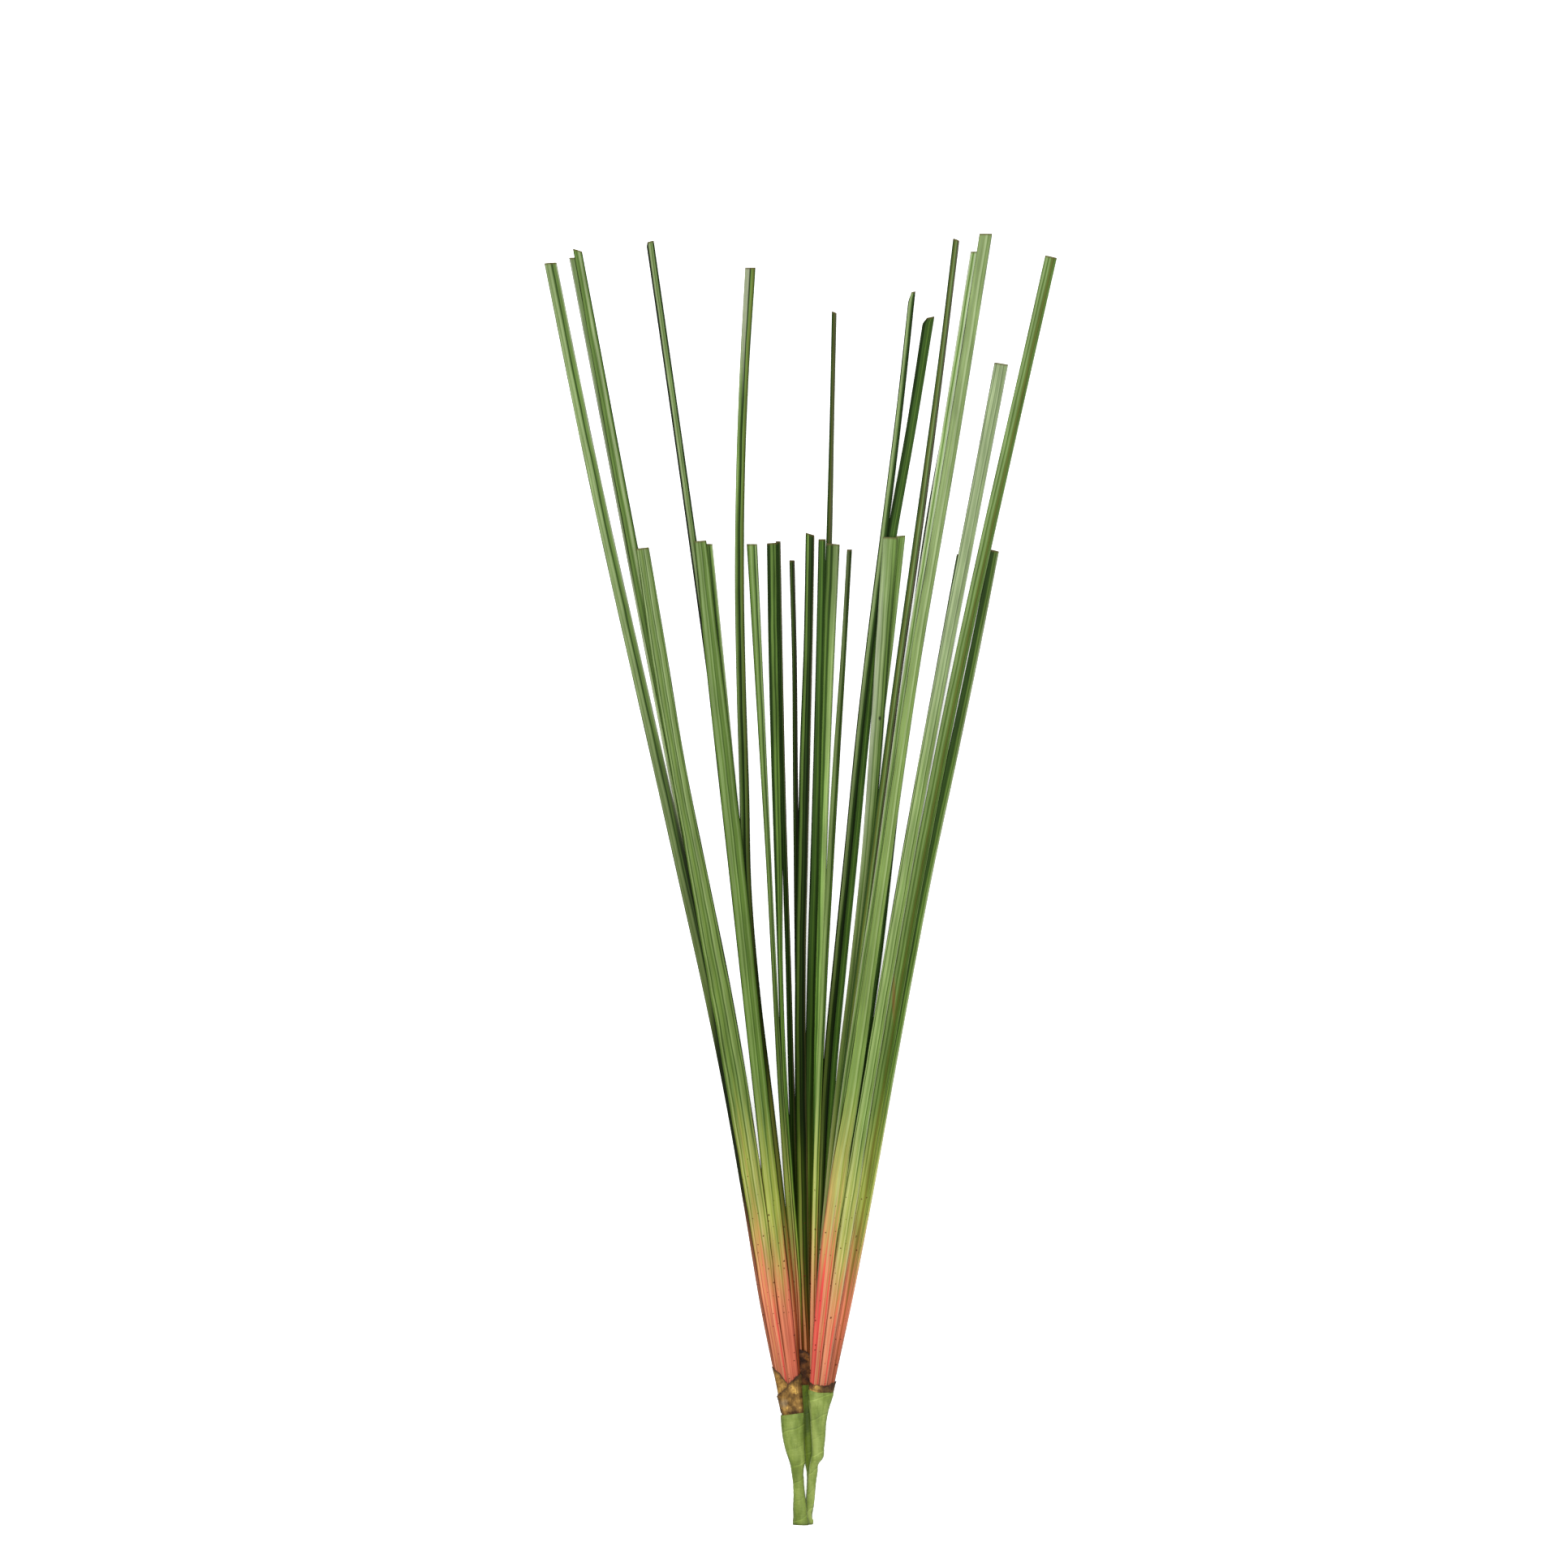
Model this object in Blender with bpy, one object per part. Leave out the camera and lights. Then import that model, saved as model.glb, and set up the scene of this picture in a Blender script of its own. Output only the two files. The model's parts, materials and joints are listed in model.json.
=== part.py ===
"""A bunch of cattail leaves lying on a table: three cut shoots, each a fan of strap leaves
that comes out of a brown papery sheath, above a stem wrapped in green florist's tape.

Lengths are in millimetres up to add_piece, which turns them to metres. Along is measured
from the cut stem ends towards the leaf tips (+Y), across is to the right (+X) and height is
up from the table (+Z). The finished bunch has its origin under the middle of its own box.
"""

import math
from collections import namedtuple

import bmesh
import bpy
import numpy as np
from mathutils import Vector

MM = 0.001
GAP = 0.3

# Leaves: thickness at the base and at the tip, and how their ribs stand out.
LEAF_THICK_BASE = 0.85
LEAF_THICK_TIP = 0.7
RIB_ACROSS = (-1.0, -0.66, -0.34, 0.0, 0.34, 0.66, 1.0)
RIB_HEIGHT = (0.0, 0.5, 0.26, 0.5, 0.26, 0.5, 0.0)
UNDERSIDE_ACROSS = (0.8, 0.4, 0.0, -0.4, -0.8)
UNDERSIDE_DEPTH = (0.3, 0.45, 0.5, 0.45, 0.3)
BASE_FOLD = 0.05
FOLD_LEVEL = 0.6
FLAT_BASE = 45.0
FULL_SHAPE = 190.0
STATION_SPACING = 58.0

# How a stiff leaf comes down from what it lies on: softly at first, then at this slope.
DROOP_SLOPE = 0.021
DROOP_SOFTNESS = 0.5
WAVE_HEIGHT = 0.35
WAVE_LENGTH = 150.0
LIFT_FROM = 0.55

# Sheaths and stems: corners round them, the sheath's wall, and where round the right sheath
# (in radians from straight right) its hard lump stands out and over what spread.
SIDES = 24
SHEATH_WALL = 0.35
SHEATH_LEVELS = 12
LUMP_AT = math.radians(25)
LUMP_SPREAD = math.radians(22)
LEAF_ROUGHNESS = 0.45
SHEATH_ROUGHNESS = 0.7
TAPE_ROUGHNESS = 0.6

# A shoot: along of its leaf bases, and the height at which its lowest leaf starts.
Shoot = namedtuple("Shoot", "leaf_base bottom")
SHOOTS = {
    "middle": Shoot(76.0, 0.75),
    "left": Shoot(60.6, 9.5),
    "right": Shoot(71.8, 8.1),
}

# A leaf, in the order in which they lie on each other. route holds its centre line and
# visible width as (along, across, width). turn is how far it is turned on its edge at the
# tip, fold how far its middle stands above its edges as a part of half its width, cut how
# much further its right corner reaches than its left, and lift how far its tip springs up.
Leaf = namedtuple("Leaf", "name colour turn fold cut lift route")

LEAVES = (
    Leaf("middle_leaf_1", (0.09, 0.11, 0.04), 52, 0.1, -1.0, 3.0, (
        (76, 3.7, 4.4), (140, 3.5, 3.6), (246, 5.3, 3.3), (386, 9.9, 3.2), (545, 14.8, 3.1),
        (600, 16.0, 2.5), (657, 17.2, 2.6))),
    Leaf("middle_leaf_2", (0.13, 0.22, 0.07), 8, 0.18, -0.6, 0.0, (
        (76, 3.7, 4.7), (105, 4.2, 4.4), (175, 5.5, 4.9), (281, 8.4, 5.7), (351, 10.0, 5.8),
        (440, 12.8, 6.4), (531.5, 16.5, 7.5))),
    Leaf("middle_leaf_3", (0.04, 0.07, 0.02), 40, 0.1, 0.0, 1.0, (
        (76, -1.8, 4.4), (140, -2.2, 4.0), (210, -5.3, 3.5), (281, -7.0, 3.1), (351, -9.2, 2.9),
        (421, -11.2, 3.1), (533, -13.2, 2.6))),
    Leaf("middle_leaf_4", (0.04, 0.06, 0.02), 38, 0.12, 0.0, 1.5, (
        (76, -1.8, 4.6), (175, -1.1, 3.6), (316, -2.9, 3.0), (400, -3.8, 2.8), (476, -4.5, 2.7),
        (522.7, -5.7, 2.9))),
    Leaf("middle_leaf_5", (0.05, 0.09, 0.03), 14, 0.2, 0.0, 0.0, (
        (76, 3.7, 4.6), (140, 2.9, 4.8), (210, 3.3, 4.8), (281, 4.4, 4.8), (351, 6.4, 4.8),
        (457, 9.0, 4.2), (534, 10.6, 4.0))),
    Leaf("middle_leaf_6", (0.06, 0.11, 0.04), -12, 0.22, -1.5, 0.0, (
        (76, 3.6, 4.6), (105, 1.3, 5.6), (140, 0.7, 6.2), (210, -0.7, 6.2), (281, -1.5, 5.9),
        (351, -0.2, 5.7), (421, 1.3, 5.7), (480, 3.0, 4.9), (537, 4.0, 4.8))),
    Leaf("middle_leaf_7", (0.08, 0.15, 0.05), 10, 0.2, 0.4, 0.0, (
        (76, -1.8, 4.6), (140, -3.1, 4.4), (210, -8.4, 3.5), (300, -12.0, 2.8), (386, -13.6, 5.2),
        (457, -15.4, 5.6), (532, -16.5, 5.7))),
    Leaf("middle_leaf_8", (0.17, 0.27, 0.11), -10, 0.16, 0.0, 2.0, (
        (76, -1.8, 4.6), (105, -2.6, 4.4), (175, -7.5, 4.0), (246, -12.5, 3.0), (351, -18.0, 2.9),
        (457, -23.6, 4.6), (531.5, -27.5, 5.7))),
    Leaf("left_leaf_1", (0.20, 0.25, 0.16), 0, 0.2, 0.0, 0.0, (
        (60.6, -7.9, 4.8), (140, -22.0, 4.8), (246, -40.5, 4.8), (386, -66.1, 5.6),
        (545, -97.2, 4.6), (687, -124.6, 4.4))),
    Leaf("left_leaf_2", (0.12, 0.20, 0.09), -32, 0.22, 1.0, 2.5, (
        (60.6, -2.7, 4.8), (140, -12.3, 5.0), (246, -23.8, 5.0), (386, -40.0, 4.8),
        (545, -61.4, 4.4), (695.4, -82.9, 4.2))),
    Leaf("left_leaf_3", (0.18, 0.24, 0.12), 10, 0.18, 0.0, 0.0, (
        (60.6, -2.7, 4.8), (140, -11.9, 5.3), (246, -23.8, 5.3), (386, -37.0, 5.0),
        (457, -43.8, 4.8), (531.5, -51.0, 4.4))),
    Leaf("left_leaf_4", (0.13, 0.26, 0.06), 12, 0.22, -1.6, 0.0, (
        (60.6, -7.9, 4.8), (140, -21.1, 5.8), (246, -39.2, 6.0), (386, -64.2, 6.0),
        (545, -95.1, 5.9), (691, -122.1, 5.0))),
    Leaf("left_leaf_5", (0.10, 0.18, 0.07), -14, 0.3, 0.0, 5.0, (
        (60.6, -2.7, 4.8), (105, -5.1, 5.4), (140, -8.6, 5.7), (246, -20.6, 5.7), (320, -29.0, 5.4),
        (400, -31.7, 5.3), (520, -34.3, 5.0), (600, -32.8, 4.9), (681, -28.4, 5.7))),
    Leaf("left_leaf_6", (0.19, 0.27, 0.10), -10, 0.26, 0.4, 0.0, (
        (60.6, -8.3, 5.4), (105, -17.6, 5.8), (140, -23.3, 6.2), (246, -41.8, 6.5),
        (386, -72.3, 7.0), (584, -116.6, 6.9), (684.1, -136.9, 6.7))),
    Leaf("left_leaf_7", (0.19, 0.31, 0.13), 6, 0.2, 0.6, 0.0, (
        (60.6, -2.7, 4.8), (105, -7.9, 7.1), (140, -12.1, 7.9), (246, -24.0, 8.0),
        (386, -38.9, 9.3), (457, -47.1, 8.8), (533, -55.4, 6.6))),
    Leaf("left_leaf_8", (0.22, 0.33, 0.11), -6, 0.2, 0.9, 0.0, (
        (60.6, -7.9, 4.8), (105, -15.4, 7.4), (140, -20.9, 8.1), (175, -25.6, 10.4),
        (246, -37.0, 12.2), (316, -49.5, 11.7), (400, -65.6, 8.6), (461, -76.1, 9.0),
        (529.2, -86.8, 7.0))),
    Leaf("right_leaf_1", (0.05, 0.08, 0.03), 0, 0.15, 0.0, 0.0, (
        (71.8, 14.3, 3.8), (140, 18.6, 4.0), (200, 25.6, 4.2), (241, 31.4, 4.2), (274, 36.3, 4.2),
        (307, 40.9, 4.2), (351, 46.0, 4.0), (400, 51.7, 4.0), (457, 57.4, 3.8), (518, 64.4, 3.5),
        (560, 71.4, 3.4), (600, 78.6, 3.2))),
    Leaf("right_leaf_2", (0.16, 0.22, 0.11), 0, 0.15, 0.0, 0.0, (
        (71.8, 14.3, 3.8), (140, 21.0, 4.6), (246, 36.5, 5.3), (351, 54.6, 5.4), (457, 73.7, 5.5),
        (526, 86.5, 5.7))),
    Leaf("right_leaf_3", (0.03, 0.09, 0.02), 24, 0.16, 1.5, 3.0, (
        (71.8, 10.0, 3.8), (140, 10.3, 4.6), (175, 11.6, 4.8), (246, 16.2, 4.8), (351, 26.4, 5.1),
        (457, 37.0, 5.0), (505, 42.6, 5.3), (545, 50.2, 5.5), (628, 64.5, 5.7), (654.3, 68.6, 6.2))),
    Leaf("right_leaf_4", (0.07, 0.14, 0.04), -34, 0.2, 0.8, 3.0, (
        (71.8, 5.7, 4.0), (140, 7.9, 4.0), (246, 13.0, 4.2), (351, 23.1, 4.0), (457, 33.9, 4.0),
        (545, 45.1, 4.0), (628, 55.2, 3.5), (668, 59.4, 3.5))),
    Leaf("right_leaf_5", (0.06, 0.10, 0.03), 36, 0.14, 0.0, 1.0, (
        (71.8, 5.7, 4.0), (140, 6.3, 3.6), (210, 8.1, 3.5), (281, 11.0, 3.5), (351, 14.7, 3.7),
        (400, 17.5, 3.9), (457, 21.3, 3.1), (528.5, 25.5, 2.8))),
    Leaf("right_leaf_6", (0.22, 0.32, 0.12), 8, 0.16, 0.6, 0.0, (
        (71.8, 10.0, 3.8), (246, 22.9, 4.6), (351, 34.8, 4.6), (421, 40.2, 4.6), (470, 46.0, 4.8),
        (536, 53.2, 5.3))),
    Leaf("right_leaf_7", (0.20, 0.31, 0.11), -6, 0.18, -0.4, 0.0, (
        (71.8, 5.7, 4.0), (140, 11.0, 5.3), (246, 21.8, 6.2), (300, 28.3, 6.2), (351, 33.7, 5.9),
        (386, 37.0, 6.6), (457, 42.0, 7.3), (535, 47.5, 7.9))),
    Leaf("right_leaf_8", (0.13, 0.14, 0.04), 30, 0.18, -1.2, 2.5, (
        (71.8, 10.0, 3.8), (140, 12.5, 4.4), (246, 23.8, 4.4), (351, 37.2, 4.2), (457, 51.3, 4.2),
        (545, 63.8, 4.4), (628, 75.0, 3.6), (696.5, 83.4, 3.4))),
    Leaf("right_leaf_9", (0.11, 0.19, 0.05), 18, 0.2, -1.0, 0.0, (
        (71.8, 14.3, 3.8), (105, 21.3, 4.2), (140, 28.4, 4.6), (246, 47.7, 5.3), (351, 67.5, 5.5),
        (457, 90.0, 5.7), (528, 104.3, 4.8))),
    Leaf("right_leaf_10", (0.33, 0.44, 0.22), -8, 0.16, 0.0, 0.0, (
        (71.8, 5.7, 4.0), (140, 11.4, 5.7), (175, 15.8, 5.7), (246, 25.3, 5.7), (351, 41.4, 5.7),
        (457, 56.3, 5.7), (545, 70.6, 5.7), (690, 93.9, 5.7))),
    Leaf("right_leaf_11", (0.18, 0.25, 0.06), 10, 0.24, -1.4, 0.0, (
        (71.8, 14.3, 3.8), (82.7, 16.1, 4.8), (105, 20.0, 5.3), (140, 26.2, 6.2), (246, 44.0, 7.0),
        (351, 62.3, 7.3), (457, 83.2, 7.0), (545, 102.5, 7.0), (628, 121.4, 6.6),
        (687.4, 134.9, 6.4))),
    Leaf("right_leaf_12", (0.35, 0.43, 0.24), 4, 0.2, -1.2, 0.0, (
        (71.8, 10.0, 3.8), (82.7, 11.7, 4.9), (105, 14.7, 6.2), (140, 19.8, 7.0), (175, 25.3, 7.5),
        (246, 37.0, 6.9), (351, 55.1, 7.3), (457, 74.6, 7.4), (545, 91.7, 7.3),
        (629.3, 107.8, 7.5))),
    Leaf("right_leaf_13", (0.33, 0.45, 0.21), 6, 0.22, 0.0, 0.0, (
        (71.8, 5.7, 4.1), (82.7, 6.6, 5.3), (105, 8.6, 6.4), (140, 12.5, 7.3), (175, 17.2, 8.4),
        (246, 29.0, 7.6), (300, 36.5, 6.6), (351, 43.9, 6.2), (457, 59.3, 6.0), (580, 80.2, 6.5),
        (699.6, 99.4, 7.0))),
)

# A taped stem is ovals along its length: (along, across, half width, height, half height,
# lean in degrees). Its top is the outline of the sheath above it.
STEM_OVALS = {
    "middle": (
        (0.0, 2.6, 2.9, 2.2, 2.2, 0), (2.4, 2.6, 2.9, 2.2, 2.2, 0), (3.2, 2.7, 2.7, 2.1, 2.1, 0),
        (10.0, 3.6, 2.6, 2.3, 2.3, 0), (20.7, 4.5, 2.55, 2.45, 2.45, 0),
        (27.3, 4.6, 2.6, 2.5, 2.5, 0), (31.0, 4.3, 2.9, 2.6, 2.6, 0), (34.5, 3.9, 3.2, 2.7, 2.7, 0),
        (42.0, 3.3, 3.7, 2.9, 2.9, 0), (50.0, 2.6, 4.3, 3.1, 3.1, 0), (62.0, 1.6, 5.1, 3.3, 3.3, 0)),
    "right": (
        (0.0, 3.3, 2.5, 6.75, 1.95, 0), (2.4, 3.5, 2.6, 6.75, 1.95, 0), (3.2, 3.2, 2.4, 6.7, 1.85, 0),
        (12.8, 4.3, 2.4, 7.1, 2.05, 0), (19.4, 4.7, 2.55, 7.5, 2.2, 0),
        (27.9, 5.7, 2.6, 7.9, 2.4, 0), (33.4, 6.5, 2.7, 8.3, 2.5, 0), (35.6, 7.7, 3.3, 8.9, 2.9, 0),
        (41.4, 8.4, 3.6, 9.3, 3.0, 0), (49.7, 8.6, 4.2, 9.8, 3.1, 0), (57.0, 8.7, 4.7, 10.1, 3.2, 0),
        (63.0, 9.1, 5.6, 10.3, 3.3, 0)),
    "left": (
        (0.0, -1.1, 4.8, 9.5, 2.3, 25), (2.4, -1.1, 4.8, 9.5, 2.3, 25), (3.2, -1.2, 4.55, 9.45, 2.2, 24),
        (9.2, -1.5, 4.1, 9.4, 2.3, 20), (17.6, -1.9, 3.3, 9.4, 2.5, 8), (22.9, -2.3, 3.2, 9.5, 2.6, 0),
        (31.5, -2.9, 3.8, 9.9, 2.8, 0), (34.5, -2.9, 4.6, 10.2, 3.0, 0), (41.4, -4.1, 5.6, 10.9, 3.1, 0),
        (52.0, -5.2, 6.4, 11.8, 3.3, 0)),
}
STEM_TOP = {"middle": 75.3, "left": 59.9, "right": 71.1}

ANGLES = np.arange(SIDES) * (2 * math.pi / SIDES)
DIRECTIONS = np.column_stack([np.cos(ANGLES), np.sin(ANGLES)])


def smooth_curve(at, marks, values):
    """A smooth curve through (marks, values): each stretch is a cubic whose slopes at its
    ends are those of the line through the neighbouring marks."""
    marks = np.asarray(marks, float)
    values = np.asarray(values, float)
    slopes = np.gradient(values, marks)
    i = np.clip(np.searchsorted(marks, at, side="right") - 1, 0, len(marks) - 2)
    span = marks[i + 1] - marks[i]
    t = (at - marks[i]) / span
    return (
        values[i] * (1 + 2 * t) * (1 - t) ** 2
        + slopes[i] * span * t * (1 - t) ** 2
        + values[i + 1] * t**2 * (3 - 2 * t)
        + slopes[i + 1] * span * t**2 * (t - 1)
    )


def ease(at, start, end):
    """0 before start, 1 after end, and a soft step between them."""
    t = np.clip((at - start) / (end - start), 0, 1)
    return t * t * (3 - 2 * t)


class Leaves:
    """The pile of leaves: it keeps the height of what lies at each place on the table, and
    lays each new leaf on it."""

    CELL = 0.1
    ROW = 4.0
    HALF_WIDTH = 150.0
    LENGTH = 708.0
    SEED = 29
    RAISING_ROUNDS = 12

    def __init__(self):
        self.rows = np.arange(0, self.LENGTH, self.ROW)
        self.cells = np.arange(-self.HALF_WIDTH, self.HALF_WIDTH, self.CELL)
        self.top = np.zeros((len(self.rows), len(self.cells)))
        self.random = np.random.default_rng(self.SEED)
        self.laid = {}

    def sections(self, leaf, along, base):
        """The leaf's outline at each place along it, with its own centre line at height 0:
        across and height of the seven points of its ribbed face, left to right, and of the
        five points of its underside, right to left."""
        marks, across, width = np.array(leaf.route).T
        part = ease(along, base + FLAT_BASE, base + FULL_SHAPE)
        turn = np.radians(leaf.turn) * part
        half = smooth_curve(along, marks, width) / 2 / np.cos(turn)
        thick = np.interp(along, (base, marks[-1]), (LEAF_THICK_BASE, LEAF_THICK_TIP))
        u = np.array(RIB_ACROSS + UNDERSIDE_ACROSS)
        out = np.array(RIB_HEIGHT + tuple(-depth for depth in UNDERSIDE_DEPTH))
        rise = (BASE_FOLD + leaf.fold * part)[:, None] * half[:, None] * (FOLD_LEVEL - u**2)
        x = half[:, None] * u
        z = rise + thick[:, None] * out
        cos, sin = np.cos(turn)[:, None], np.sin(turn)[:, None]
        centre = smooth_curve(along, marks, across)[:, None]
        return np.stack([centre + x * cos + z * sin, z * cos - x * sin], axis=2)

    def on_rows(self, stations, rings, rows):
        """The rings, read at the rows, by straight lines between the stations."""
        i = np.clip(np.searchsorted(stations, rows, side="right") - 1, 0, len(stations) - 2)
        t = ((rows - stations[i]) / (stations[i + 1] - stations[i]))[:, None, None]
        return rings[i] * (1 - t) + rings[i + 1] * t

    def height_needed(self, picked, outlines):
        """How high the centre line has to be at each row for the leaf to clear what it lies
        on: the pile is read under every point of its outline and midway between them."""
        between = (outlines + np.roll(outlines, -1, axis=1)) / 2
        points = np.concatenate([outlines, between], axis=1)
        cell = np.rint((points[:, :, 0] + self.HALF_WIDTH) / self.CELL).astype(int)
        row = picked[:, None]
        below = np.maximum.reduce([self.top[row, cell + step] for step in (-2, -1, 0, 1, 2)])
        return (below + GAP * (below > 0) - points[:, :, 1]).max(axis=1)

    def lay(self, leaf, shoot):
        """Lays one leaf and gives the outlines at its stations as (along, across, height)."""
        tip = leaf.route[-1][0]
        base = shoot.leaf_base
        count = round((tip - base) / STATION_SPACING) + 1
        stations = np.linspace(base, tip, count)
        picked = np.flatnonzero((self.rows >= base - self.ROW) & (self.rows <= tip + self.ROW))
        rows = np.clip(self.rows[picked], base, tip)
        shape = self.sections(leaf, stations, base)
        outlines = self.on_rows(stations, shape, rows)
        needed = self.height_needed(picked, outlines)
        lowest = shoot.bottom + LEAF_THICK_BASE / 2
        needed = np.where(rows < base + FLAT_BASE / 2, np.maximum(needed, lowest), needed)
        distance = DROOP_SLOPE * (stations[:, None] - rows[None, :])
        droop = np.sqrt(DROOP_SOFTNESS**2 + distance**2) - DROOP_SOFTNESS
        height = (needed[None, :] - droop).max(axis=1)
        phase = self.random.uniform(0, 2 * math.pi)
        wave = 0.5 + 0.5 * np.sin(2 * math.pi * stations / WAVE_LENGTH + phase)
        height += WAVE_HEIGHT * wave * ease(stations, base + FLAT_BASE, base + FULL_SHAPE)
        height += leaf.lift * ease(stations, base + LIFT_FROM * (tip - base), tip) ** 2
        height = self.raised_to_clear(stations, height, rows, needed)
        shape[:, :, 1] += height[:, None]
        self.raise_pile(picked, self.on_rows(stations, shape, rows))
        self.laid[leaf.name] = (stations, shape)
        return stations, shape

    def raised_to_clear(self, stations, height, rows, needed):
        """Raises the stations at the ends of each straight stretch that would cut into what
        lies below it, until none does."""
        span = np.clip(np.searchsorted(stations, rows, side="right") - 1, 0, len(stations) - 2)
        for _ in range(self.RAISING_ROUNDS):
            short = np.maximum(needed - np.interp(rows, stations, height), 0)
            lack = np.zeros(len(stations))
            np.maximum.at(lack, span, short)
            np.maximum.at(lack, span + 1, short)
            height = height + lack
        return height

    def raise_pile(self, picked, outlines):
        """Records the leaf's upper face in the pile."""
        for row, outline in zip(picked, outlines):
            face = outline[: len(RIB_ACROSS)]
            order = np.argsort(face[:, 0])
            first, last = np.searchsorted(self.cells, face[order[[0, -1]], 0])
            inside = slice(max(first - 1, 0), last + 1)
            height = np.interp(self.cells[inside], face[order, 0], face[order, 1])
            self.top[row, inside] = np.maximum(self.top[row, inside], height)

    def points_at(self, names, along):
        """Every outline point of the named leaves at one place along the bunch."""
        found = []
        for name in names:
            stations, shape = self.laid[name]
            found.append(self.on_rows(stations, shape, np.array([max(along, stations[0])]))[0])
        return np.concatenate(found)


def plain_material(name, colour, roughness):
    material = bpy.data.materials.new(name)
    material.use_nodes = True
    surface = material.node_tree.nodes["Principled BSDF"]
    surface.inputs["Base Color"].default_value = (*colour, 1)
    surface.inputs["Roughness"].default_value = roughness
    surface.inputs["Metallic"].default_value = 0.0
    material.diffuse_color = (*colour, 1)
    return material


def add_piece(name, rings, colour, roughness, ring_shaped=False):
    """Joins rings of points, each (across, along, height), into one closed body. It has an
    end face on its first and last ring, unless it is ring-shaped: then its last ring joins
    its first one."""
    rings = np.asarray(rings, float)
    count, sides = rings.shape[:2]
    here = np.arange(sides)
    beside = np.roll(here, -1)
    faces = []
    for i in range(count if ring_shaped else count - 1):
        low, high = i * sides, (i + 1) % count * sides
        faces += np.column_stack([low + here, low + beside, high + beside, high + here]).tolist()
    if not ring_shaped:
        faces.append(here[::-1].tolist())
        faces.append((here + (count - 1) * sides).tolist())
    mesh = bpy.data.meshes.new(name)
    mesh.from_pydata((rings.reshape(-1, 3) * MM).tolist(), [], faces)
    work = bmesh.new()
    work.from_mesh(mesh)
    bmesh.ops.recalc_face_normals(work, faces=work.faces)
    work.to_mesh(mesh)
    work.free()
    mesh.shade_smooth()
    mesh.set_sharp_from_angle(angle=math.radians(40))
    piece = bpy.data.objects.new(name, mesh)
    piece.data.materials.append(plain_material(name, colour, roughness))
    bpy.context.scene.collection.objects.link(piece)
    return piece


def reach_of_points(points):
    """How far a set of points reaches in each of the SIDES directions."""
    return (points @ DIRECTIONS.T).max(axis=0)


def reach_of_oval(across, half_width, height, half_height, lean):
    """How far an oval reaches in each direction."""
    turned = ANGLES - math.radians(lean)
    around = np.hypot(half_width * np.cos(turned), half_height * np.sin(turned))
    return around + DIRECTIONS @ (across, height)


def wrapped(reach):
    """The corners of a band pulled tight: where the straight lines that touch the shape in
    two neighbouring directions cross."""
    step = 2 * math.pi / SIDES
    following = np.roll(reach, -1)
    later = ANGLES + step
    across = (reach * np.sin(later) - following * np.sin(ANGLES)) / math.sin(step)
    height = (following * np.cos(ANGLES) - reach * np.cos(later)) / math.sin(step)
    return np.column_stack([across, height])


def leaf_names(shoot_name):
    return [leaf.name for leaf in LEAVES if leaf.name.startswith(shoot_name)]


def add_leaves(pile):
    for leaf in LEAVES:
        shoot = SHOOTS[leaf.name.split("_")[0]]
        stations, shape = pile.lay(leaf, shoot)
        along = np.repeat(stations[:, None], shape.shape[1], axis=1)
        along[-1] += leaf.cut / 2 * np.array(RIB_ACROSS + UNDERSIDE_ACROSS)
        rings = np.stack([shape[:, :, 0], along, shape[:, :, 1]], axis=2)
        add_piece(leaf.name, rings, leaf.colour, LEAF_ROUGHNESS)


def add_sheath(pile, name, shoot_name, bottom, top, clear, colour, lump=0.0):
    """A papery sleeve wound round the leaf bases, from bottom to an uneven top edge, which is
    a function of the angle round it. It stands clear of the leaves by the given distance."""
    names = leaf_names(shoot_name)
    edge = top(ANGLES)
    levels = np.linspace(bottom - 1, edge.max() + 1, SHEATH_LEVELS)
    reaches = np.array([reach_of_points(pile.points_at(names, level)) for level in levels])
    swell = lump * np.exp(-(((ANGLES - LUMP_AT) / LUMP_SPREAD) ** 2))

    def ring(part, distance, swollen):
        along = bottom + part * (edge - bottom)
        corners = np.array([wrapped(reach + distance + swollen * swell) for reach in reaches])
        across = [np.interp(along[i], levels, corners[:, i, 0]) for i in range(SIDES)]
        height = [np.interp(along[i], levels, corners[:, i, 1]) for i in range(SIDES)]
        return np.column_stack([across, along, height])

    outside = [ring(part, clear + SHEATH_WALL, part) for part in (0.0, 0.5, 1.0)]
    inside = [ring(part, clear, 0.0) for part in (1.0, 0.5, 0.0)]
    return add_piece(name, outside + inside, colour, SHEATH_ROUGHNESS, ring_shaped=True)


def add_stem(pile, shoot_name, clear, colour):
    """A stem in its tape: ovals from the cut end up, then the outline of the sheath."""
    rings = []
    for along, *oval in STEM_OVALS[shoot_name]:
        corners = wrapped(reach_of_oval(*oval))
        rings.append(np.column_stack([corners[:, 0], np.full(SIDES, along), corners[:, 1]]))
    top = STEM_TOP[shoot_name]
    reach = reach_of_points(pile.points_at(leaf_names(shoot_name), top))
    corners = wrapped(reach + clear + SHEATH_WALL)
    rings.append(np.column_stack([corners[:, 0], np.full(SIDES, top), corners[:, 1]]))
    return add_piece(shoot_name + "_taped_stem", rings, colour, TAPE_ROUGHNESS)


def ragged(angle, depth):
    """A small uneven wobble round a torn edge."""
    return depth * (np.sin(5 * angle + 1) + 0.6 * np.sin(9 * angle + 2.5)) / 1.6


def left_inner_top(angle):
    return 75.7 - np.where(np.cos(angle) < 0, 9.7, 4.0) * np.cos(angle) + ragged(angle, 0.3)


def left_outer_top(angle):
    return 75.7 + 6.8 * np.cos(angle) + ragged(angle, 0.3)


def middle_top(angle):
    return 89.0 + 6.0 * np.sin(angle) + ragged(angle, 0.6)


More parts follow.
